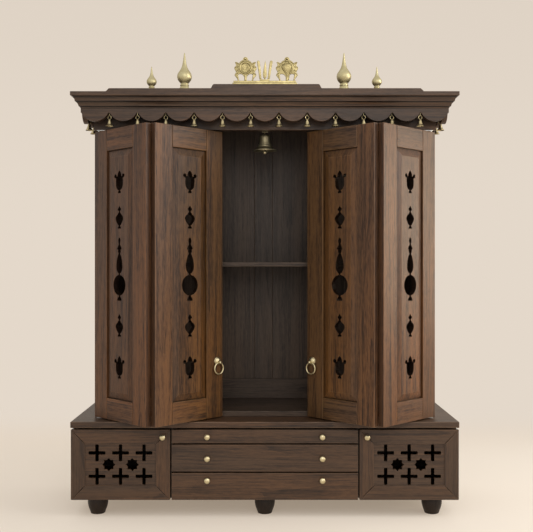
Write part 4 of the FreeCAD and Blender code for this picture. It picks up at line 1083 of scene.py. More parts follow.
def makeDoor(side, seed):
    body = "door_" + side
    suffix = side.capitalize()
    low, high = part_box("base_door_%s_frame" % side)
    wide, floor = doorLook["frame"], low.y + doorLook["recess"] + 0.0002
    wood = Joinery(seed)
    x0, x1, z0, z1 = low.x, high.x, low.z, high.z
    corners = [(x0, z0), (x1, z0), (x1, z1), (x0, z1)]
    inner = [(x0 + wide, z0 + wide), (x1 - wide, z0 + wide), (x1 - wide, z1 - wide), (x0 + wide, z1 - wide)]
    narrow = wide - doorLook["tongue"]
    rebate = [(x0 + narrow, z0 + narrow), (x1 - narrow, z0 + narrow), (x1 - narrow, z1 - narrow),
              (x0 + narrow, z1 - narrow)]
    for k in range(4):
        after = (k + 1) % 4
        along = Vector((corners[after][0] - corners[k][0], corners[after][1] - corners[k][1])).normalized()
        for inside, y0, y1, gap in ((inner, low.y, floor, doorLook["mitreGap"]),
                                    (rebate, floor, high.y, doorLook["mitreClosed"])):
            run = along * gap
            tip = run * doorLook["mitreTaper"]
            shape = [(corners[k][0] + tip.x, corners[k][1] + tip.y),
                     (corners[after][0] - tip.x, corners[after][1] - tip.y),
                     (inside[after][0] - run.x, inside[after][1] - run.y),
                     (inside[k][0] + run.x, inside[k][1] + run.y)]
            # painted shade: the bottom of the mitre gaps is darkened
            wood.prism(shape, y0, y1, 0 if k % 2 == 0 else 2, bevel=doorLook["frameEdge"],
                       sunk=lambda p: 1.0 if abs(p.y - floor) < 0.0002 else 0)
    wood.piece("doorFrame" + suffix, "walnutFronts", "walnut", body, ["base_door_%s_frame" % side])
    name = "doorPanel" + suffix
    addPiece(name, makeDoorPanel(name, "base_door_%s_panel" % side, seed + 1), "walnutFronts", body,
             ["base_door_%s_panel" % side])
    makeKnobs("doorKnob" + suffix, "base_door_%s_knob" % side, body, 1)


for number, level in enumerate(("bottom", "middle", "top")):
    makeDrawer(level, 20 + 3 * number)
makeDoor("left", 31)
makeDoor("right", 34)
print("drawers and doors made")


# upper cabinet

interior = {
    "joints": [-0.470, -0.330, -0.190, -0.042, 0.030, 0.175, 0.320, 0.462],
    "jointBevel": 0.0016,
    "boardEdge": 0.0015,
    "floorEdge": 0.0018,
    # painted shade at the top of the header board
    "headerShade": 0.9,
    "headerShadeDepth": 0.004,
}


def makeUpper():
    wood = Joinery(41)
    low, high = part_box("upper_sides")
    boardPair(wood, low, high, 2, 1, 3)
    wood.piece("upperSideBoards", "walnutFronts", "walnut", "cabinet", ["upper_sides"])
    wood = Joinery(42)
    low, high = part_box("back_panel")
    stops = [low.x] + interior["joints"] + [high.x]
    for x0, x1 in zip(stops, stops[1:]):
        wood.box((x0, low.y, low.z), (x1, high.y, high.z), 2, bevel=interior["jointBevel"])
    wood.piece("backBoards", "walnutInside", "walnut_inner", "cabinet", ["back_panel"])
    for name, node, seed in (("backRailBoard", "back_rail", 43), ("shelfBoard", "inner_shelf", 44)):
        wood = Joinery(seed)
        low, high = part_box(node)
        wood.box(low, high, 0, bevel=interior["boardEdge"])
        wood.piece(name, "walnutInside", "walnut_inner", "cabinet", [node])
    wood = Joinery(45)
    low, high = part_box("upper_floor")
    gluedBoards(wood, low, high, 0, 1, 2, bevel=interior["floorEdge"])
    wood.piece("shrineFloorBoards", "walnutInside", "walnut_inner", "cabinet", ["upper_floor"])
    wood = Joinery(46)
    low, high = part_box("header_rail")
    # painted shade: the header darkens towards its top, in the shade under the canopy
    darkened = high.z - interior["headerShadeDepth"]
    wood.box(low, high, 0, bevel=interior["boardEdge"],
             sunk=lambda p: interior["headerShade"] if p.z > darkened else 0)
    wood.piece("headerBoard", "walnutFronts", "walnut", "cabinet", ["header_rail"])


makeUpper()
print("upper cabinet made")


# folding leaves

leafLook = {
    "thickness": 0.0225,
    "stile": 0.075,
    "tongue": 0.008,
    "plate": 0.008,
    "backRecess": 0.004,
    "rise": 0.0102,
    "margin": 0.003,
    "slope": 0.024,
    "lip": 0.0032,
    "jointGap": 0.0015,
    "jointDepth": 0.006,
    "edge": 0.0015,
}
motifs = {
    # width, height, levels of the foot above the leaf's bottom, right half of the outline
    "tulip": (0.064, 0.080, (0.151, 0.801), [
        (0, 0), (0.25, 0), (0.27, 0.05), (0.11, 0.13, 0.1), (0.63, 0.36, 0.34), (0.66, 0.57),
        (0.64, 0.675, -0.10), (0.50, 0.745, 3.8), (0.41, 0.725, -0.15), (0.35, 0.800, -0.15), (0, 1, 0.19)]),
    "urn": (0.046, 0.080, (0.298, 0.677), [
        (0, 0), (0.42, 0), (0.38, 0.06), (0.16, 0.12, 0.1), (1, 0.43, 0.16), (0.46, 0.62, 0.27),
        (0.16, 0.725, 0.06), (0.16, 0.755), (0.45, 0.85, 0.1), (0.22, 0.915, 0.1), (0, 1, 0.12)]),
    "baluster": (0.073, 0.222, (0.424,), [
        (0, 0), (0.34, 0), (0.35, 0.022), (0.12, 0.07, 0.1), (0.12, 0.084), (0.12, 0.41, 0.886), (0.12, 0.43),
        (0.51, 0.544, 0.28), (0.125, 0.747, 0.145), (0.25, 0.777), (0.21, 0.8), (0.366, 0.82),
        (0.12, 0.884, 0.1), (0.12, 0.903), (0.195, 0.948, 0.08), (0.125, 0.985, 0.08), (0, 1)]),
}


def motifLoops():
    loops = []
    for width, height, levels, half in motifs.values():
        rows = [(x * width / 2, z * height, *bulge) for x, z, *bulge in half]
        for level in levels:
            loops.append([(x, z + level) for x, z in mirroredOutline(rows, 8)])
    return loops


# One leaf: two stiles, two rails and a pierced raised panel, in its own place and turn.
def makeLeaf(side, turn, seed):
    low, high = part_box("leaf_frame_" + side)
    thick = leafLook["thickness"]
    width = (high.x - low.x) * math.sqrt(2) - thick
    tall = high.z - low.z
    half = width / 2
    place = Matrix.Translation(((low.x + high.x) / 2, (low.y + high.y) / 2, low.z))
    place = place @ Matrix.Rotation(math.radians(turn), 4, "Z")
    stile, gap, edge = leafLook["stile"], leafLook["jointGap"], leafLook["edge"]
    suffix = "".join(word.capitalize() for word in side.split("_"))

    wood = Joinery(seed)
    for x0, x1 in ((-half, stile - half), (half - stile, half)):
        # painted shade: the leaf's end faces are darkened, as at the folds the next leaf shades them
        wood.box((x0, -thick / 2, 0), (x1, thick / 2, tall), 2, place, edge,
                 sunk=lambda p: 0.5 if abs(p.x) > half - 0.0001 else 0)
    floor = leafLook["jointDepth"] - thick / 2
    for z0, z1 in ((0, stile), (tall - stile, tall)):
        wood.box((stile - half + gap, -thick / 2, z0), (half - stile - gap, floor, z1), 0, place, edge)
        # painted shade: the bottom of the joint gaps between rails and stiles is darkened
        wood.box((stile - half, floor, z0), (half - stile, thick / 2, z1), 0, place, edge,
                 sunk=lambda p: 1.0 if abs(p.y - floor) < 0.0002 else 0)
    wood.piece("leafFrame" + suffix, "walnutLeaves", "walnut_leaf", "cabinet", ["leaf_frame_" + side])

    back = thick / 2 - leafLook["backRecess"]
    fieldHalf = half - stile - leafLook["margin"]
    inner = fieldHalf - leafLook["slope"]
    bottom, top = stile + leafLook["margin"], tall - stile - leafLook["margin"]
    slope = leafLook["slope"]
    front = back - leafLook["plate"] - leafLook["rise"]
    rim = [(-inner, bottom + slope), (inner, bottom + slope), (inner, top - slope), (-inner, top - slope)]
    plate = grown("leafField" + suffix, loopMesh("leafFieldRim", [rim] + motifLoops()), plateTree, {
        "Thickness": leafLook["plate"] + leafLook["rise"], "Finish": finishes["walnutLeaves"]})
    plate.transform(Matrix.Rotation(math.radians(90), 4, "X"))
    plate.transform(Matrix.Translation((0, back, 0)))
    wood = Joinery(seed + 1)
    addSlopes(plate, inner, bottom, top, slope, fieldHalf, front, back)

    # Painted shade: the walls of the cut-outs and the border round the raised field are darkened.
    def paintedShade(p):
        inField = abs(p.x) < inner - 0.001 and bottom + slope + 0.001 < p.z < top - slope - 0.001
        if inField and p.y > front + 0.0003:
            return 1.0
        if abs(p.x) < fieldHalf - 0.001 and bottom + 0.001 < p.z < top - 0.001:
            return 0
        return 0.65 if p.y > back - leafLook["plate"] - 0.0004 else 0.22

    wood.adopt(plate, 2, place, bevel=0.0006, segments=2, crease=10, sunk=paintedShade)
    wood.piece("leafPanel" + suffix, "walnutLeaves", "walnut_leaf", "cabinet", ["leaf_panel_" + side])


# Add the sloping border and the tongue of a raised panel round its field.
def addSlopes(plate, inner, bottom, top, slope, fieldHalf, front, back):
    flat = back - leafLook["plate"]
    tongue = leafLook["margin"] + leafLook["tongue"]
    bm = bmesh.new()
    bm.from_mesh(plate)

    def ringAt(half, low, high, y):
        return [bm.verts.new(p) for p in ((-half, y, low), (half, y, low), (half, y, high), (-half, y, high))]

    levels = [
        ringAt(inner, bottom + slope, top - slope, front),
        ringAt(fieldHalf, bottom, top, flat - leafLook["lip"]),
        ringAt(fieldHalf, bottom, top, flat),
        ringAt(fieldHalf + tongue, bottom - tongue, top + tongue, flat),
        ringAt(fieldHalf + tongue, bottom - tongue, top + tongue, back),
        ringAt(inner, bottom + slope, top - slope, back),
    ]
    for outer, after in zip(levels, levels[1:] + levels[:1]):
        for k in range(4):
            bm.faces.new([outer[k], outer[(k + 1) % 4], after[(k + 1) % 4], after[k]])
    bm.to_mesh(plate)
    bm.free()


leafTurns = {"left_outer": -45, "left_inner": 45, "right_inner": -45, "right_outer": 45}
for number, (side, turn) in enumerate(leafTurns.items()):
    makeLeaf(side, turn, 51 + 3 * number)
print("leaves made")


# leaf hardware: pivots, brackets and folding hinges

hardware = {
    "pivotRadius": 0.004,
    "pivotOverlap": 0.012,
    "barrelRadius": 0.0035,
    "knuckles": 5,
    "knuckleGap": 0.0006,
    "hingeLength": 0.060,
    "hingeMargin": 0.120,
    "bracket": (0.050, 0.016, 0.0020),
    "bracketCorner": 0.003,
    "bracketInset": 0.008,
}


def makeHardware():
    low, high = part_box("leaf_hardware")
    leafLow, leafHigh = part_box("leaf_frame_left_outer")
    bm = bmesh.new()
    line = [(0, 0), (0.0036, 0), (0.004, 0.0004), (0.004, 0.9996), (0.0036, 1), (0, 1)]
    pin = turnedMesh("pivotPin", line, 16)
    pivotX = high.x - hardware["pivotRadius"]
    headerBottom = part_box("header_rail")[0].z
    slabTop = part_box("counter_top")[1].z
    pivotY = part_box("header_rail")[0].y + leafLook["thickness"] / 2
    overlap = hardware["pivotOverlap"]
    for sign in (-1, 1):
        for z0, z1 in ((slabTop, leafLow.z + overlap), (leafHigh.z - overlap, headerBottom)):
            stretch = Matrix.Diagonal((1, 1, z1 - z0, 1))
            addMesh(bm, pin, Matrix.Translation((sign * pivotX, pivotY, z0)) @ stretch)
    long, deep, thick = hardware["bracket"]
    x, y, corner = long / 2, deep / 2, hardware["bracketCorner"]
    outline = [(-x, -y + corner), (-x + corner, -y), (x - corner, -y), (x, -y + corner),
               (x, y - corner), (x - corner, y), (-x + corner, y), (-x, y - corner)]
    plate = grown("pivotPlate", loopMesh("pivotPlateLine", [outline]), plateTree, {
        "Thickness": thick, "Finish": finishes["hingeSteel"]})
    for sign in (-1, 1):
        for z in (slabTop, headerBottom - thick):
            reach = pivotX - long / 2 + hardware["bracketInset"]
            addMesh(bm, plate, Matrix.Translation((sign * reach, pivotY, z)))
    addCast("leafPivots", bm, 40, "hingeSteel", "cabinet")
    length, count = hardware["hingeLength"], hardware["knuckles"]
    step = length / count
    radius = hardware["barrelRadius"]
    tall = step - hardware["knuckleGap"]
    line = [(0, 0), (radius * 0.86, 0), (radius, 0.0004), (radius, tall - 0.0004), (radius * 0.86, tall),
            (0, tall)]
    knuckle = turnedMesh("hingeKnuckle", line, 18)
    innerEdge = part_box("leaf_frame_left_outer")[1].x
    barrelX = (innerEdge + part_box("leaf_frame_left_inner")[0].x) / 2
    bm = bmesh.new()
    for sign in (-1, 1):
        for z0 in (leafLow.z + hardware["hingeMargin"], (leafLow.z + leafHigh.z - length) / 2,
                   leafHigh.z - hardware["hingeMargin"] - length):
            for k in range(count):
                addMesh(bm, knuckle, Matrix.Translation((-sign * barrelX, low.y + radius, z0 + k * step)))
    addCast("leafHinges", bm, 40, "hingeBronze", "cabinet", ["leaf_hardware"])


makeHardware()


# fittings of the base: door pivots and the battens that carry the drawers

fittings = {
    "plateCorner": 0.005,
    "plateThickness": 0.0025,
    "pinX": 0.680,
    "pinInset": 0.005,
    "screwRadius": 0.0034,
    "screwPlaces": (0.014, 0.030, 0.052),
    "battenEdge": 0.0012,
}


# The connected parts of a CAD node as pairs of corners.
def partBoxes(node):
    bm = bmesh.new()
    bm.from_mesh(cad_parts[node].data)
    bmesh.ops.remove_doubles(bm, verts=bm.verts, dist=0.00001)
    boxes, seen = [], set()
    for start in bm.verts:
        if start in seen:
            continue
        seen.add(start)
        group, waiting = [], [start]
        while waiting:
            vert = waiting.pop()
            group.append(vert.co.copy())
            for edge in vert.link_edges:
                other = edge.other_vert(vert)
                if other not in seen:
                    seen.add(other)
                    waiting.append(other)
        boxes.append((Vector([min(p[k] for p in group) for k in range(3)]),
                      Vector([max(p[k] for p in group) for k in range(3)])))
    bm.free()
    return boxes


def makeFittings():
    bm = bmesh.new()
    for low, high in partBoxes("door_pivots"):
        x, top = (low.x + high.x) / 2, high.z
        if high.y - low.y < 0.02:
            radius = (high.x - low.x) / 2
            pin = turnedMesh("doorPin", [(0, low.z), (radius * 0.85, low.z), (radius, low.z + 0.0004),
                                         (radius, top - 0.0004), (radius * 0.85, top), (0, top)], 20)
            addMesh(bm, pin, Matrix.Translation((x, (low.y + high.y) / 2, 0)))
            continue
        corner, thick = fittings["plateCorner"], fittings["plateThickness"]
        rows = [(low.x + corner, low.y), (high.x - corner, low.y), (high.x, low.y + corner, quarterBulge),
                (high.x, high.y - corner), (high.x - corner, high.y, quarterBulge),
                (low.x + corner, high.y), (low.x, high.y - corner, quarterBulge), (low.x, low.y + corner)]
        outline = outlinePoints(rows + [(*rows[0], quarterBulge)], 5)[:-1]
        plate = grown("doorPlate", loopMesh("doorPlateLine", [outline]), plateTree, {
            "Thickness": thick, "Finish": finishes["hingeSteel"]})
        addMesh(bm, plate, Matrix.Translation((0, 0, low.z)))
        pin = turnedMesh("doorPin", [(0, low.z), (0.0019, low.z + 0.0002), (0.0020, top - 0.0004),
                                     (0.0017, top), (0, top)], 20)
        pinX = math.copysign(fittings["pinX"], x)
        addMesh(bm, pin, Matrix.Translation((pinX, low.y + fittings["pinInset"], 0)))
        screw = turnedMesh("plateScrew", [(0, -0.0002), (fittings["screwRadius"], -0.0002),
                                          (fittings["screwRadius"], 0.0004), (0, 0.0004)], 20)
        for along in fittings["screwPlaces"]:
            addMesh(bm, screw, Matrix.Translation((x, low.y + along, low.z)))
    addCast("doorPivots", bm, 40, "hingeSteel", "cabinet", ["door_pivots"])
    wood = Joinery(81)
    for low, high in partBoxes("drawer_runners"):
        wood.box(low, high, 1, bevel=fittings["battenEdge"])
    wood.piece("drawerRunners", "walnutInside", "walnut_inner", "cabinet", ["drawer_runners"])


makeFittings()


# ring pulls on the free stiles

pullLook = {
    "plate": [(0, 0), (0.0134, 0), (0.0135, 0.0012), (0.0128, 0.0032), (0.0108, 0.0058), (0.0078, 0.0078),
              (0.0042, 0.0090), (0, 0.0094)],
    "ball": [(0, -0.0050), (0.0030, -0.0041), (0.0049, -0.0012), (0.0050, 0.0010), (0.0031, 0.0042),
             (0, 0.0050)],
    "roseDrop": 0.0035,
    "ballStandoff": 0.0145,
    "ballDrop": 0.0078,
    "eyeRadius": 0.0045,
    "eyeWire": 0.0016,
    "stemWire": 0.0028,
    "eyeStandoff": 0.008,
    "eyeDrop": 0.009,
    "ringRadius": 0.0205,
    "wire": 0.0026,
    "edge": 0.024,
    "rise": 0.207,
}


def makePull(side, sign, turn):
    low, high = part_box("leaf_frame_%s_inner" % side)
    thick = leafLook["thickness"]
    half = ((high.x - low.x) * math.sqrt(2) - thick) / 2
    place = Matrix.Translation(((low.x + high.x) / 2, (low.y + high.y) / 2, low.z))
    place = place @ Matrix.Rotation(math.radians(turn), 4, "Z")
    place = place @ Matrix.Translation((sign * (half - pullLook["edge"]), -thick / 2, pullLook["rise"]))
    bm = bmesh.new()
    rose = turnedMesh("pullRose", smoothLine(pullLook["plate"], 3), 32, 60)
    flat = Matrix.Rotation(math.radians(90), 4, "X")
    addMesh(bm, rose, place @ Matrix.Translation((0, 0, -pullLook["roseDrop"])) @ flat)
    ball = turnedMesh("pullBall", smoothLine(pullLook["ball"], 3), 20, 60)
    addMesh(bm, ball, place @ Matrix.Translation((0, -pullLook["ballStandoff"], -pullLook["ballDrop"])))
    eye = bmesh.new()
    centre = Vector((0, -pullLook["eyeStandoff"], -pullLook["eyeDrop"]))
    tube(eye, circlePath(centre, yAxis, zAxis, pullLook["eyeRadius"], 20), pullLook["eyeWire"], 8,
         closed=True)
    tube(eye, [(0, -0.006, -0.0050), (0, -pullLook["ballStandoff"], -pullLook["ballDrop"])],
         pullLook["stemWire"], 12, side=(1, 0, 0))
    addMesh(bm, toMesh(eye, "pullEye", 50), place)
    hoop = bmesh.new()
    middle = centre + Vector((0, 0, -pullLook["ringRadius"]))
    tube(hoop, circlePath(middle, xAxis, zAxis, pullLook["ringRadius"], 48), pullLook["wire"], 12,
         closed=True)
    ringMesh = toMesh(hoop, "pullRing", 60)
    ringMesh.transform(place)
    name = "pullRing" + side.capitalize()
    addPiece(name, ringMesh, "paleBrass", "ring_" + side, ["pull_ring_" + side])
    return toMesh(bm, "pullRose" + side, 50)


roses = bmesh.new()
for side, sign, turn in (("left", 1, 45), ("right", -1, -45)):
    addMesh(roses, makePull(side, sign, turn))
addPiece("pullRoses", toMesh(roses, "pullRoses", 50), "paleBrass", "cabinet", ["pull_rosettes"])
print("hardware made")


# canopy

canopyLook = {
    "profile": [(-0.030, 0), (0.0009, 0), (0.0034, 0.0060, -0.2), (0.0065, 0.0064), (0.0065, 0.0084),
                (0.0143, 0.0216, -0.12), (0.0174, 0.0220), (0.0174, 0.0242), (0.0233, 0.0376, -0.12),
                (0.0260, 0.0380), (0.0260, 0.0400), (-0.030, 0.0400)],
    "quirks": (0.0062, 0.0218, 0.0378),
    # painted shade below the quirks of the moulding
    "quirkShade": 0.0030,
    "fascia": 0.014,
    "tier": 0.0106,
    "tierHalf": 0.545,
    "shoulder": 0.011,
    "crestHalf": 0.183,
    "crestShoulder": 0.014,
    "frontBoard": 0.022,
    "rearBoards": 4,
    "topEdge": 0.0012,
    "crestEdge": 0.0016,
}


# Mouldings of one profile (outwards, up) along a level path with mitred corners, a board for each side.
def mitredRun(wood, profile, corners, closed=False, bevel=0.0006, sunk=None):
    count = len(corners)
    offsets = []
    for k, corner in enumerate(corners):
        here = Vector(corner)
        before = Vector(corners[k - 1]) if closed or k else None
        after = Vector(corners[(k + 1) % count]) if closed or k < count - 1 else None
        normals = []
        for a, b in ((before, here), (here, after)):
            if a is not None and b is not None:
                run = (b - a).normalized()
                normals.append(Vector((run.y, -run.x)))
        total = sum(normals, Vector((0, 0)))
        offsets.append(total / (total.length_squared / len(normals)) if len(normals) > 1 else total)
    steps = range(count if closed else count - 1)
    for k in steps:
        after = (k + 1) % count
        bm = bmesh.new()
        ends = []
        for corner, offset in ((corners[k], offsets[k]), (corners[after], offsets[after])):
            ends.append([bm.verts.new((corner[0] + offset.x * out, corner[1] + offset.y * out, up))
                         for out, up in profile])
        for j in range(len(profile)):
            nxt = (j + 1) % len(profile)
            bm.faces.new([ends[0][j], ends[0][nxt], ends[1][nxt], ends[1][j]])
        bm.faces.new(ends[0])
        bm.faces.new(list(reversed(ends[1])))
        run = Vector(corners[after]) - Vector(corners[k])
        wood.finish(bm, 0 if abs(run.x) > abs(run.y) else 1, None, bevel, 1, sunk=sunk)


def makeCornice():
    low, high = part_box("canopy_cornice")
    reach = canopyLook["profile"][-2][0]
    wood = Joinery(71)
    corners = [(low.x + reach, high.y), (low.x + reach, low.y + reach), (high.x - reach, low.y + reach),
               (high.x - reach, high.y)]
    profile = [(out, up + low.z) for out, up in outlinePoints(canopyLook["profile"], 6)]
    # painted shade: the moulding is darkened just below each quirk, under its ledges
    quirks, below = [low.z + level for level in canopyLook["quirks"]], canopyLook["quirkShade"]
    mitredRun(wood, profile, corners,
              sunk=lambda p: 1.0 if any(-below < p.z - quirk < 0.0001 for quirk in quirks) else 0)
    wood.piece("corniceMoulding", "walnutFronts", "walnut", "cabinet", ["canopy_cornice"])


def makeCanopyTop():
    low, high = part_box("canopy_top")
    half = (high.x - low.x) / 2
    wood = Joinery(72)
    rise = canopyLook["fascia"]
    tier, shoulder = canopyLook["tierHalf"], canopyLook["shoulder"]
    peak = rise + canopyLook["tier"]
    outline = [(-half, 0), (half, 0), (half, rise), (tier + shoulder, rise), (tier, peak), (-tier, peak),
               (-tier - shoulder, rise), (-half, rise)]
    outline = [(x, z + low.z) for x, z in outline]
    seam, count = low.y + canopyLook["frontBoard"], canopyLook["rearBoards"]
    stops = [low.y] + [seam + (high.y - seam) * k / count for k in range(count + 1)]
    for y0, y1 in zip(stops, stops[1:]):
        wood.prism(outline, y0, y1, 0, bevel=canopyLook["topEdge"])
    wood.piece("canopyTopBoards", "walnutFronts", "walnut", "cabinet", ["canopy_top"])

    wood = Joinery(73)
    low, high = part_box("canopy_crest")
    half, flat, tall = (high.x - low.x) / 2, canopyLook["crestHalf"], high.z - low.z
    side = canopyLook["crestShoulder"]
    rows = [(0, 0), (half, 0), (flat + side * 0.5, tall * 0.5, -0.2), (flat, tall, 0.2), (0, tall)]
    outline = [(x + (low.x + high.x) / 2, z + low.z) for x, z in mirroredOutline(rows, 5)]
    wood.prism(outline, low.y, high.y, 0, bevel=canopyLook["crestEdge"])
    wood.piece("crestBoard", "walnutFronts", "walnut", "cabinet", ["canopy_crest"])

    wood = Joinery(74)
    low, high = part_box("canopy_ceiling")
    gluedBoards(wood, low, high, 0, 1, 4)
    wood.piece("ceilingBoards", "walnutInside", "walnut", "cabinet", ["canopy_ceiling"])


valanceLook = {
    "scallops": 13,
    "sideScallops": 5,
    "notch": 0.015,
    "flat": 0.004,
    "thickness": 0.018,
    "steps": 28,
    "edge": 0.0010,
    "stain": 0.16,
}


def scallopMesh(name, width, drop, scallops):
    empty = bpy.data.meshes.new(name + "Start")
    return grown(name, empty, valanceTree, {
        "Width": width, "Drop": drop, "Notch": valanceLook["notch"], "Notch Flat": valanceLook["flat"],
        "Scallops": scallops, "Steps": valanceLook["steps"], "Thickness": valanceLook["thickness"],
        "Finish": finishes["walnutFronts"]})


def makeValance():
    low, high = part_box("valance_front")
    wood = Joinery(75)
    mesh = scallopMesh("valanceFrontPlain", high.x - low.x, high.z - low.z, valanceLook["scallops"])
    # the whole front valance is darkened evenly by this share
    wood.adopt(mesh, 0, Matrix.Translation((0, high.y, high.z)), bevel=valanceLook["edge"], segments=2,
               sunk=lambda p: valanceLook["stain"])
    wood.piece("valanceFront", "walnutFronts", "walnut", "cabinet", ["valance_front"])
    low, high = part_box("valance_sides")
    wood = Joinery(76)
    mesh = scallopMesh("valanceSidePlain", high.y - low.y, high.z - low.z, valanceLook["sideScallops"])
    middle = (low.y + high.y) / 2
    for x, turn in ((high.x - valanceLook["thickness"], 90), (low.x + valanceLook["thickness"], -90)):
        place = Matrix.Translation((x, middle, high.z)) @ Matrix.Rotation(math.radians(turn), 4, "Z")
        wood.adopt(mesh, 0, place, bevel=valanceLook["edge"], segments=2)
    wood.piece("valanceSides", "walnutFronts", "walnut", "cabinet", ["valance_sides"])


makeCornice()
makeCanopyTop()
makeValance()
print("canopy made")


# brass bells of the valance

smallBell = {
    "profile": [(0, 0.0046), (0.0102, 0.0040), (0.0127, 0.0006), (0.0133, 0), (0.0135, 0.0008),
                (0.0123, 0.0024), (0.0097, 0.0056), (0.0080, 0.0095), (0.0066, 0.0138), (0.0052, 0.0184),
                (0.0037, 0.0222), (0.0026, 0.0240), (0.0022, 0.0248), (0, 0.0250)],
    "loopRadius": 0.0066,
    "loopWire": 0.0013,
    "rise": 0.0474,
    "clapper": [(0, -0.0026), (0.0019, -0.0016), (0.0026, 0.0010), (0.0012, 0.0036), (0.0008, 0.0060),
                (0, 0.0062)],
    "tilt": 0.05,
}


def makeBells():
    line = smoothLine(smallBell["profile"], 2)
    bm = bmesh.new()
    addMesh(bm, turnedMesh("smallBellBody", line, 20, 50))
    radius, wire = smallBell["loopRadius"], smallBell["loopWire"]
    middle = smallBell["profile"][-1][1] + radius - wire * 0.5
    tube(bm, circlePath((0, 0, middle), zAxis, xAxis, radius, 20), wire, 8, closed=True)
    tube(bm, [(0, 0, middle + radius - 0.0008), (0, 0, smallBell["rise"])], wire * 0.9, 8)
    ball = turnedMesh("smallClapper", smoothLine(smallBell["clapper"], 2), 10, 60)
    addMesh(bm, ball)
    bell = toMesh(bm, "smallBell", 50)
    count = valanceLook["scallops"]
    low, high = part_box("valance_front")
    pitch = (high.x - low.x) / count
    top = high.z - valanceLook["notch"]
    drop = smallBell["rise"]
    y = (low.y + high.y) / 2
    places = [(low.x + pitch * k, y, top - drop) for k in range(1, count)]
    low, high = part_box("valance_sides")
    step = (high.y - low.y) / valanceLook["sideScallops"]
    half = valanceLook["thickness"] / 2
    for x in (low.x + half, high.x - half):
        places += [(x, low.y + step * k, top - drop) for k in range(1, valanceLook["sideScallops"])]
    mesh = copiesAt("valanceBells", bell, places, "smallBellBrass", 0.35, smallBell["tilt"], 5)
    addPiece("valanceBells", mesh, "smallBellBrass", "cabinet", ["valance_bells"])


makeBells()
print("bells made")


# pot finials

finialLook = {
    # radius and height as shares of the finial's own, bottom to top
    "profile": [(0, 0), (0.66, 0), (0.72, 0.010), (0.71, 0.045), (0.62, 0.080), (0.55, 0.105), (0.60, 0.125),
                (0.60, 0.145), (0.52, 0.165), (0.54, 0.190), (0.72, 0.230), (0.92, 0.290), (1.0, 0.365),
                (0.92, 0.440), (0.68, 0.515), (0.43, 0.595), (0.28, 0.690), (0.19, 0.800), (0.12, 0.900),
                (0.07, 0.975), (0, 1.0)],
    "steps": 40,
    "offset": -0.002,
    "sizes": [(0.0260, 0.134, 0.2818), (0.0176, 0.085, 0.398)],
}


def makeFinials():
    low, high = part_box("finials")
    middle = (low.y + high.y) / 2
    bm = bmesh.new()
    for radius, height, spread in finialLook["sizes"]:
        line = [(r * radius, z * height) for r, z in smoothLine(finialLook["profile"], 3)]
        shape = turnedMesh("potFinial", line, finialLook["steps"], 60)
        for sign in (-1, 1):
            addMesh(bm, shape, Matrix.Translation((finialLook["offset"] + sign * spread, middle, low.z)))
    addCast("potFinials", bm, 60, "finialBrass", "cabinet", ["finials"])


makeFinials()
print("finials made")

# emblem on the crest: a ribbed disc, three prongs and a conch on a stepped bar

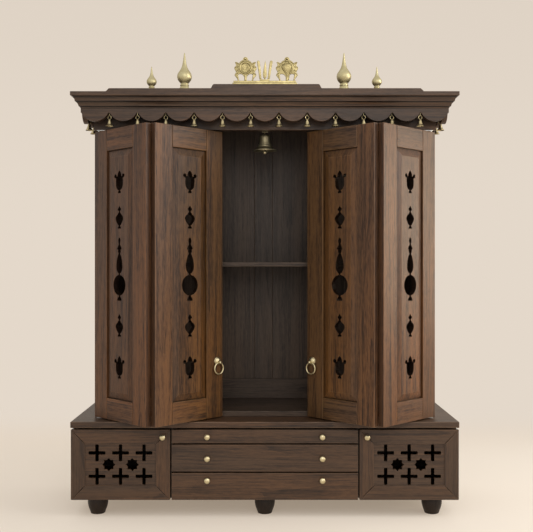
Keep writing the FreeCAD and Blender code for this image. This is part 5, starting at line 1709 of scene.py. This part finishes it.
emblemLook = {
    "thickness": 0.0055,
    "setback": 0.0085,
    "standEdge": 0.0009,
    "castEdge": 0.0012,
    "outline": [
        # right half of a stand in millimetres, from the middle of its foot
        (0, 0), (4.6, 0), (4.6, 0), (4.4, 12), (6.5, 18), (11, 22.5), (16, 24.5), (21.5, 24.3), (25.2, 21.5),
        (24.2, 12), (21.8, 0), (21.8, 0), (26.5, 0), (26.5, 0), (29.5, 8.5), (34, 14.5), (38.4, 20.2),
        (38.4, 20.2), (36.4, 25.5), (33.2, 31), (35.6, 37), (39, 43), (39, 47.5), (36, 51.5), (33.4, 54.5),
        (34.5, 60), (37, 66), (37, 66), (31.5, 65), (26.5, 61), (23.5, 62.5), (19.5, 67), (14.5, 71.2),
        (9.6, 73.2), (8.6, 77), (6.6, 81.2), (3.6, 83.6), (0, 84)],
    "discHeight": 45.5,
    "discRadius": 22.0,
    # radius as a share of the disc's, and depth towards the front
    "discProfile": [(0, 0.0012), (0.70, 0.0012), (0.70, 0.0012), (0.78, 0.0034), (0.88, 0.0046),
                    (0.97, 0.0036), (1, 0.0010), (1, 0.0010), (1, -0.0030), (1, -0.0030), (0, -0.0030)],
    "ribs": 7,
    "ribReach": 0.72,
    "prongs": [
        [(-28, 67), (-26.2, 71.5), (-21.5, 72.5), (-17.6, 68), (-14.2, 40), (-11.6, 8), (-19.4, 8),
         (-22.8, 36)],
        [(1.6, 73), (4.2, 60), (6.2, 36), (7.0, 22), (5.4, 14), (2.4, 9), (-2.4, 9), (-5.4, 14), (-7.0, 22),
         (-5.0, 38), (-1.2, 60)],
        [(28, 68), (24.6, 72.4), (18.8, 71.6), (16.0, 60), (13.0, 36), (9.8, 8), (17.6, 8), (21.6, 34)],
    ],
    "cradle": [(-18.4, 8.6), (-17.6, 0), (16.4, 0), (16.6, 8.6), (11.2, 8.6), (8.0, 6.0), (-9.0, 6.0),
               (-13.0, 8.6)],
    "prongThickness": 0.0050,
    "crown": [(0, -0.0046), (0.0038, -0.0030), (0.0050, 0), (0.0038, 0.0030), (0.0016, 0.0044), (0, 0.0046)],
    "crownHeight": 0.0778,
    "bandGap": 0.0042,
    "bandAngle": 118,
    # millimetres from the middle and above the stand: flames with their bend, leg, and the conch's lines
    "flames": [((24, 60), (36, 65.2), 1.5), ((27, 50), (38, 46), 2.0), ((27, 38), (35.5, 36), -2.0),
               ((26, 28), (37, 20.8), 2.0)],
    "leg": [(27.5, 24), (28.4, 18), (26.6, 10), (24.4, 3)],
    "legWire": [0.0022, 0.0021, 0.0019, 0.0018],
    "spire": [(0, 71.5), (2.0, 70.6), (3.4, 68.8), (3.2, 67.8), (7.4, 66.2), (9.8, 63.8), (9.4, 62.4),
              (15.0, 59.6), (18.6, 55.2), (19.6, 50.0), (18.6, 44.0), (15.4, 37.0), (11.4, 30.4), (8.2, 24.0),
              (6.0, 17.0), (4.6, 10.0), (3.4, 4.0), (0, 2.6)],
    "lip": [(15.5, 56), (18.2, 49), (17.0, 41), (13.0, 32), (9.0, 23), (6.4, 14), (5.0, 5)],
    "lipWire": [0.0014, 0.0019, 0.0021, 0.0020, 0.0018, 0.0016, 0.0013],
    "mouth": [(-12.0, 50), (-8.0, 42), (-3.0, 33), (0.5, 24), (2.0, 14)],
    "mouthWire": [0.0010, 0.0016, 0.0017, 0.0014, 0.0010],
    "whorlRadius": 0.0198,
    "whorlWire": 0.0012,
    "flatness": 0.42,
    "step": 0.0075,
    "stepInset": 0.0035,
}


# A cast flat figure: an outline in x and z with rounded edges, its front at y 0.
def flatFigure(name, outline, thickness, place, bevel):
    plate = grown(name, loopMesh(name + "Line", [outline]), plateTree, {
        "Thickness": thickness, "Finish": finishes["paleBrass"]})
    plate.transform(Matrix.Rotation(math.radians(90), 4, "X"))
    plate.transform(Matrix.Translation((0, thickness, 0)))
    bm = bmesh.new()
    bm.from_mesh(plate)
    bmesh.ops.recalc_face_normals(bm, faces=bm.faces)
    edges = [e for e in bm.edges if e.calc_face_angle(0) > math.radians(60)]
    bmesh.ops.bevel(bm, geom=edges, offset=bevel, segments=2, profile=0.5, affect="EDGES", clamp_overlap=True)
    mesh = toMesh(bm, name, 50)
    mesh.transform(place)
    return mesh


# The shared three-legged stand with flame edges and a small crown.
def standBody(bm, node):
    low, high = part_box(node)
    middle = (low.x + high.x) / 2
    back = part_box("emblem_plate")[0].y + emblemLook["setback"]
    line = [(x / 1000, z / 1000) for x, z in smoothLine(emblemLook["outline"], 3)]
    outline = line + [(-x, z) for x, z in reversed(line[1:-1])]
    place = Matrix.Translation((middle, back, low.z))
    addMesh(bm, flatFigure(node + "Stand", outline, emblemLook["thickness"], place,
                           emblemLook["standEdge"]))
    crown = turnedMesh(node + "Crown", smoothLine(emblemLook["crown"], 2), 16, 60)
    addMesh(bm, crown, place @ Matrix.Translation((0, 0, emblemLook["crownHeight"])))
    tall = emblemLook["discHeight"] / 1000
    radius = emblemLook["discRadius"] / 1000 + emblemLook["bandGap"]
    turn = emblemLook["bandAngle"]
    band = [(radius * math.sin(a), -0.0004, tall + radius * math.cos(a))
            for a in (math.radians(-turn + 2 * turn * k / 28) for k in range(29))]
    tuft = bmesh.new()
    tube(tuft, band, [0.0012 + 0.0010 * math.sin(math.pi * k / 28) for k in range(29)], 8)
    for sign in (-1, 1):
        for start, tip, bend in emblemLook["flames"]:
            path = []
            for k in range(7):
                t = k / 6
                path.append((sign * (start[0] + (tip[0] - start[0]) * t) / 1000, -0.0003,
                             (start[1] + (tip[1] - start[1]) * t + bend * math.sin(math.pi * t)) / 1000))
            tube(tuft, path, [0.0026 - 0.0014 * k / 6 for k in range(7)], 8)
        leg = [(sign * x / 1000, -0.0003, z / 1000) for x, z in emblemLook["leg"]]
        tube(tuft, leg, emblemLook["legWire"], 8)
    tube(tuft, [(0, -0.0003, 0.020), (0, -0.0003, 0.012), (0, -0.0003, 0.002)], [0.0034, 0.0026, 0.0030], 10)
    addMesh(bm, toMesh(tuft, node + "Relief", 60), place)
    return place


def makeDisc():
    bm = bmesh.new()
    place = standBody(bm, "disc_emblem")
    radius = emblemLook["discRadius"] / 1000
    tall = emblemLook["discHeight"] / 1000
    line = smoothLine([(radius * share, depth) for share, depth in emblemLook["discProfile"]], 3)
    disc = turnedMesh("discRim", line, 44, 50)
    front = place @ Matrix.Translation((0, 0, tall)) @ Matrix.Rotation(math.radians(90), 4, "X")
    addMesh(bm, disc, front)
    ribs = bmesh.new()
    count = emblemLook["ribs"]
    reach = radius * emblemLook["ribReach"]
    for k in range(count):
        x = reach * (2 * (k + 0.5) / count - 1)
        long = math.sqrt(max(reach * reach - x * x, 0)) * 0.98
        tube(ribs, [(x, -long, 0.0012), (x, 0, 0.0018), (x, long, 0.0012)], reach / count * 0.86, 8)
    addMesh(bm, toMesh(ribs, "discRibs", 60), front)
    addCast("discEmblem", bm, 50, "emblemBrass", "cabinet", ["disc_emblem"])


def makeConch():
    bm = bmesh.new()
    place = standBody(bm, "conch_emblem")
    spire = smoothLine(emblemLook["spire"][::-1], 2)
    body = turnedMesh("conchBody", [(r / 1000, z / 1000) for r, z in spire], 30, 60)
    for vert in body.vertices:
        vert.co.x += max(0.0, 0.045 - vert.co.z) * 0.10
        vert.co.y *= emblemLook["flatness"]
    addMesh(bm, body, place @ Matrix.Translation((0, 0.001, 0)))
    lips = bmesh.new()
    whorl = []
    for k in range(30):
        a = math.radians(-200 + 15 * k)
        t = k / 29
        r = emblemLook["whorlRadius"] * (1 - 0.55 * t)
        whorl.append((r * math.sin(a) * 0.98, -0.0016 - 0.0062 * abs(math.cos(a)) * (1 - 0.4 * t),
                      0.050 + 0.0215 * t))
    lip = smoothLine(emblemLook["lip"], 1)
    tube(lips, [(x / 1000, -0.0055 + 0.0010 * k, z / 1000) for k, (x, z) in enumerate(lip)],
         emblemLook["lipWire"], 8)
    tube(lips, [(x / 1000, -0.0074 + 0.0008 * k, z / 1000) for k, (x, z) in enumerate(emblemLook["mouth"])],
         emblemLook["mouthWire"], 8)
    tube(lips, whorl, emblemLook["whorlWire"], 6)
    addMesh(bm, toMesh(lips, "conchLips", 60), place)
    addCast("conchEmblem", bm, 50, "emblemBrass", "cabinet", ["conch_emblem"])


def makeProngs():
    low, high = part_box("prong_emblem")
    place = Matrix.Translation(((low.x + high.x) / 2, low.y, low.z))
    bm = bmesh.new()
    for number, outline in enumerate(emblemLook["prongs"] + [emblemLook["cradle"]]):
        shape = [(x / 1000, z / 1000) for x, z in outline]
        addMesh(bm, flatFigure("prong%d" % number, shape, emblemLook["prongThickness"], place,
                               emblemLook["castEdge"]))
    tube(bm, [place @ Vector((0, 0.0025, 0.004)), place @ Vector((0, 0.0025, 0.012))], 0.0022, 10)
    addCast("prongEmblem", bm, 50, "emblemBrass", "cabinet", ["prong_emblem"])

    low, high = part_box("emblem_plate")
    step = low.z + emblemLook["step"]
    bm = bmesh.new()
    for inset, z0, z1 in ((0.0, low.z, step), (emblemLook["stepInset"], step, high.z)):
        block = bmesh.ops.create_cube(bm, size=1.0)["verts"]
        for vert in block:
            vert.co.x = (low.x + inset) if vert.co.x < 0 else (high.x - inset)
            vert.co.y = (low.y + inset) if vert.co.y < 0 else (high.y - inset)
            vert.co.z = z0 if vert.co.z < 0 else z1
    bmesh.ops.bevel(bm, geom=list(bm.edges), offset=emblemLook["castEdge"], segments=3, profile=0.5,
                    affect="EDGES")
    addCast("emblemBar", bm, 40, "emblemBrass", "cabinet", ["emblem_plate"])


makeDisc()
makeConch()
makeProngs()
print("emblem made")


# bell under the canopy

bellLook = {
    # outer then inner wall, radius and height above the lip in millimetres
    "profile": [(0, 60), (9, 60), (14.5, 59.4), (18.2, 57.6), (19.8, 54.5), (20.3, 50), (20.9, 41),
                (21.8, 32), (22.9, 26), (23.6, 25.2), (24.3, 26), (24.9, 25), (25.2, 22.2), (26.4, 19.6),
                (27.5, 19.2), (28.0, 18.0), (28.2, 16.2), (29.6, 13.2), (32.8, 9.2), (37.0, 5.8), (41.6, 3.8),
                (44.6, 2.6), (45.0, 1.2), (44.4, 0.1), (42.6, 0.3), (38.6, 2.2), (34.0, 5.4), (29.8, 9.8),
                (26.4, 15.5), (23.0, 24), (20.2, 34), (18.3, 45), (17.2, 53), (14.0, 56.2), (0, 56.6)],
    "swing": 1.391,
    "pin": 0.002,
    "loop": 0.006,
    "clapperTop": 1.3713,
    "clapperBall": 1.3153,
    "clapperEye": 0.003,
    "wire": 0.0011,
    "forkWire": 0.0019,
    "forkRise": 0.016,
    "crown": 0.060,
    "collar": [(0, -0.001), (0.0068, -0.001), (0.0066, 0.0008), (0.0042, 0.0022), (0.0030, 0.0036),
               (0, 0.0038)],
    "drop": [(0, -0.0078), (0.0030, -0.0072), (0.0064, -0.0044), (0.0079, 0), (0.0066, 0.0042),
             (0.0038, 0.0070), (0.0020, 0.0104), (0, 0.0106)],
    "rose": [(0, 0), (0.0030, 0.0002), (0.0052, 0.0022), (0.0100, 0.0032), (0.0104, 0.0042), (0, 0.0042)],
}


def makeTempleBell():
    low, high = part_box("temple_bell")
    x, y = (low.x + high.x) / 2, (low.y + high.y) / 2
    bm = bmesh.new()
    line = [(r / 1000, low.z + z / 1000) for r, z in reversed(bellLook["profile"])]
    addMesh(bm, turnedMesh("bellShell", smoothLine(line, 2), 56, 50))
    crown = low.z + bellLook["crown"]
    ring = bellLook["loop"]
    middle = high.z - ring - bellLook["pin"] / 2
    tube(bm, circlePath((0, 0, middle), zAxis, yAxis, ring, 24), bellLook["pin"] / 2 + 0.0009, 10,
         closed=True)
    collar = turnedMesh("bellCollar", smoothLine(bellLook["collar"], 2), 24, 60)
    addMesh(bm, collar, Matrix.Translation((0, 0, crown)))
    bar = bellLook["clapperTop"]
    tube(bm, [(-0.004, 0, crown - 0.004), (-0.004, 0, bar + 0.0012), (-0.0030, 0, bar), (0.0030, 0, bar),
              (0.004, 0, bar + 0.0012), (0.004, 0, crown - 0.004)], bellLook["wire"], 8, side=(0, 1, 0))
    mesh = toMesh(bm, "templeBell", 50)
    mesh.transform(Matrix.Translation((x, y, 0)))
    addPiece("templeBell", mesh, "bellBrass", "bell", ["temple_bell"])

    bm = bmesh.new()
    ballZ = bellLook["clapperBall"]
    tube(bm, circlePath((0, 0, bar - 0.0003), zAxis, yAxis, bellLook["clapperEye"], 16), bellLook["wire"], 8,
         closed=True)
    tube(bm, [(0, 0, bar - 0.0036), (0, 0, ballZ + 0.004)], 0.0016, 10)
    drop = turnedMesh("clapperDrop", smoothLine(bellLook["drop"], 3), 28, 60)
    addMesh(bm, drop, Matrix.Translation((0, 0, ballZ)))
    mesh = toMesh(bm, "bellClapper", 50)
    mesh.transform(Matrix.Translation((x, y, 0)))
    addPiece("bellClapper", mesh, "paleBrass", "clapper", ["bell_clapper"])

    hookLow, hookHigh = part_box("bell_hook")
    bm = bmesh.new()
    pinZ = bellLook["swing"]
    half = (hookHigh.x - hookLow.x) / 2
    tube(bm, [(-half - 0.0010, 0, pinZ), (half + 0.0010, 0, pinZ)], bellLook["pin"], 14)
    forkTop = pinZ + bellLook["forkRise"]
    arm = [(half - 0.0045, 0, forkTop), (half - 0.0013, 0, forkTop - 0.004),
           (half - 0.0013, 0, pinZ - 0.0018)]
    fork = [(-x, y, z) for x, y, z in reversed(arm)] + [(0, 0, forkTop + 0.0012)] + arm
    tube(bm, fork, bellLook["forkWire"], 10, side=(0, 1, 0))
    tube(bm, [(0, 0, forkTop), (0, 0, hookHigh.z - 0.001)], bellLook["pin"], 12)
    rose = turnedMesh("hookRose", smoothLine(bellLook["rose"], 2), 24, 60)
    addMesh(bm, rose, Matrix.Translation((0, 0, hookHigh.z - bellLook["rose"][-1][1])))
    mesh = toMesh(bm, "bellHook", 50)
    mesh.transform(Matrix.Translation((x, y, 0)))
    addPiece("bellHook", mesh, "bellBrass", "cabinet", ["bell_hook"])


makeTempleBell()
print("ceiling bell made")
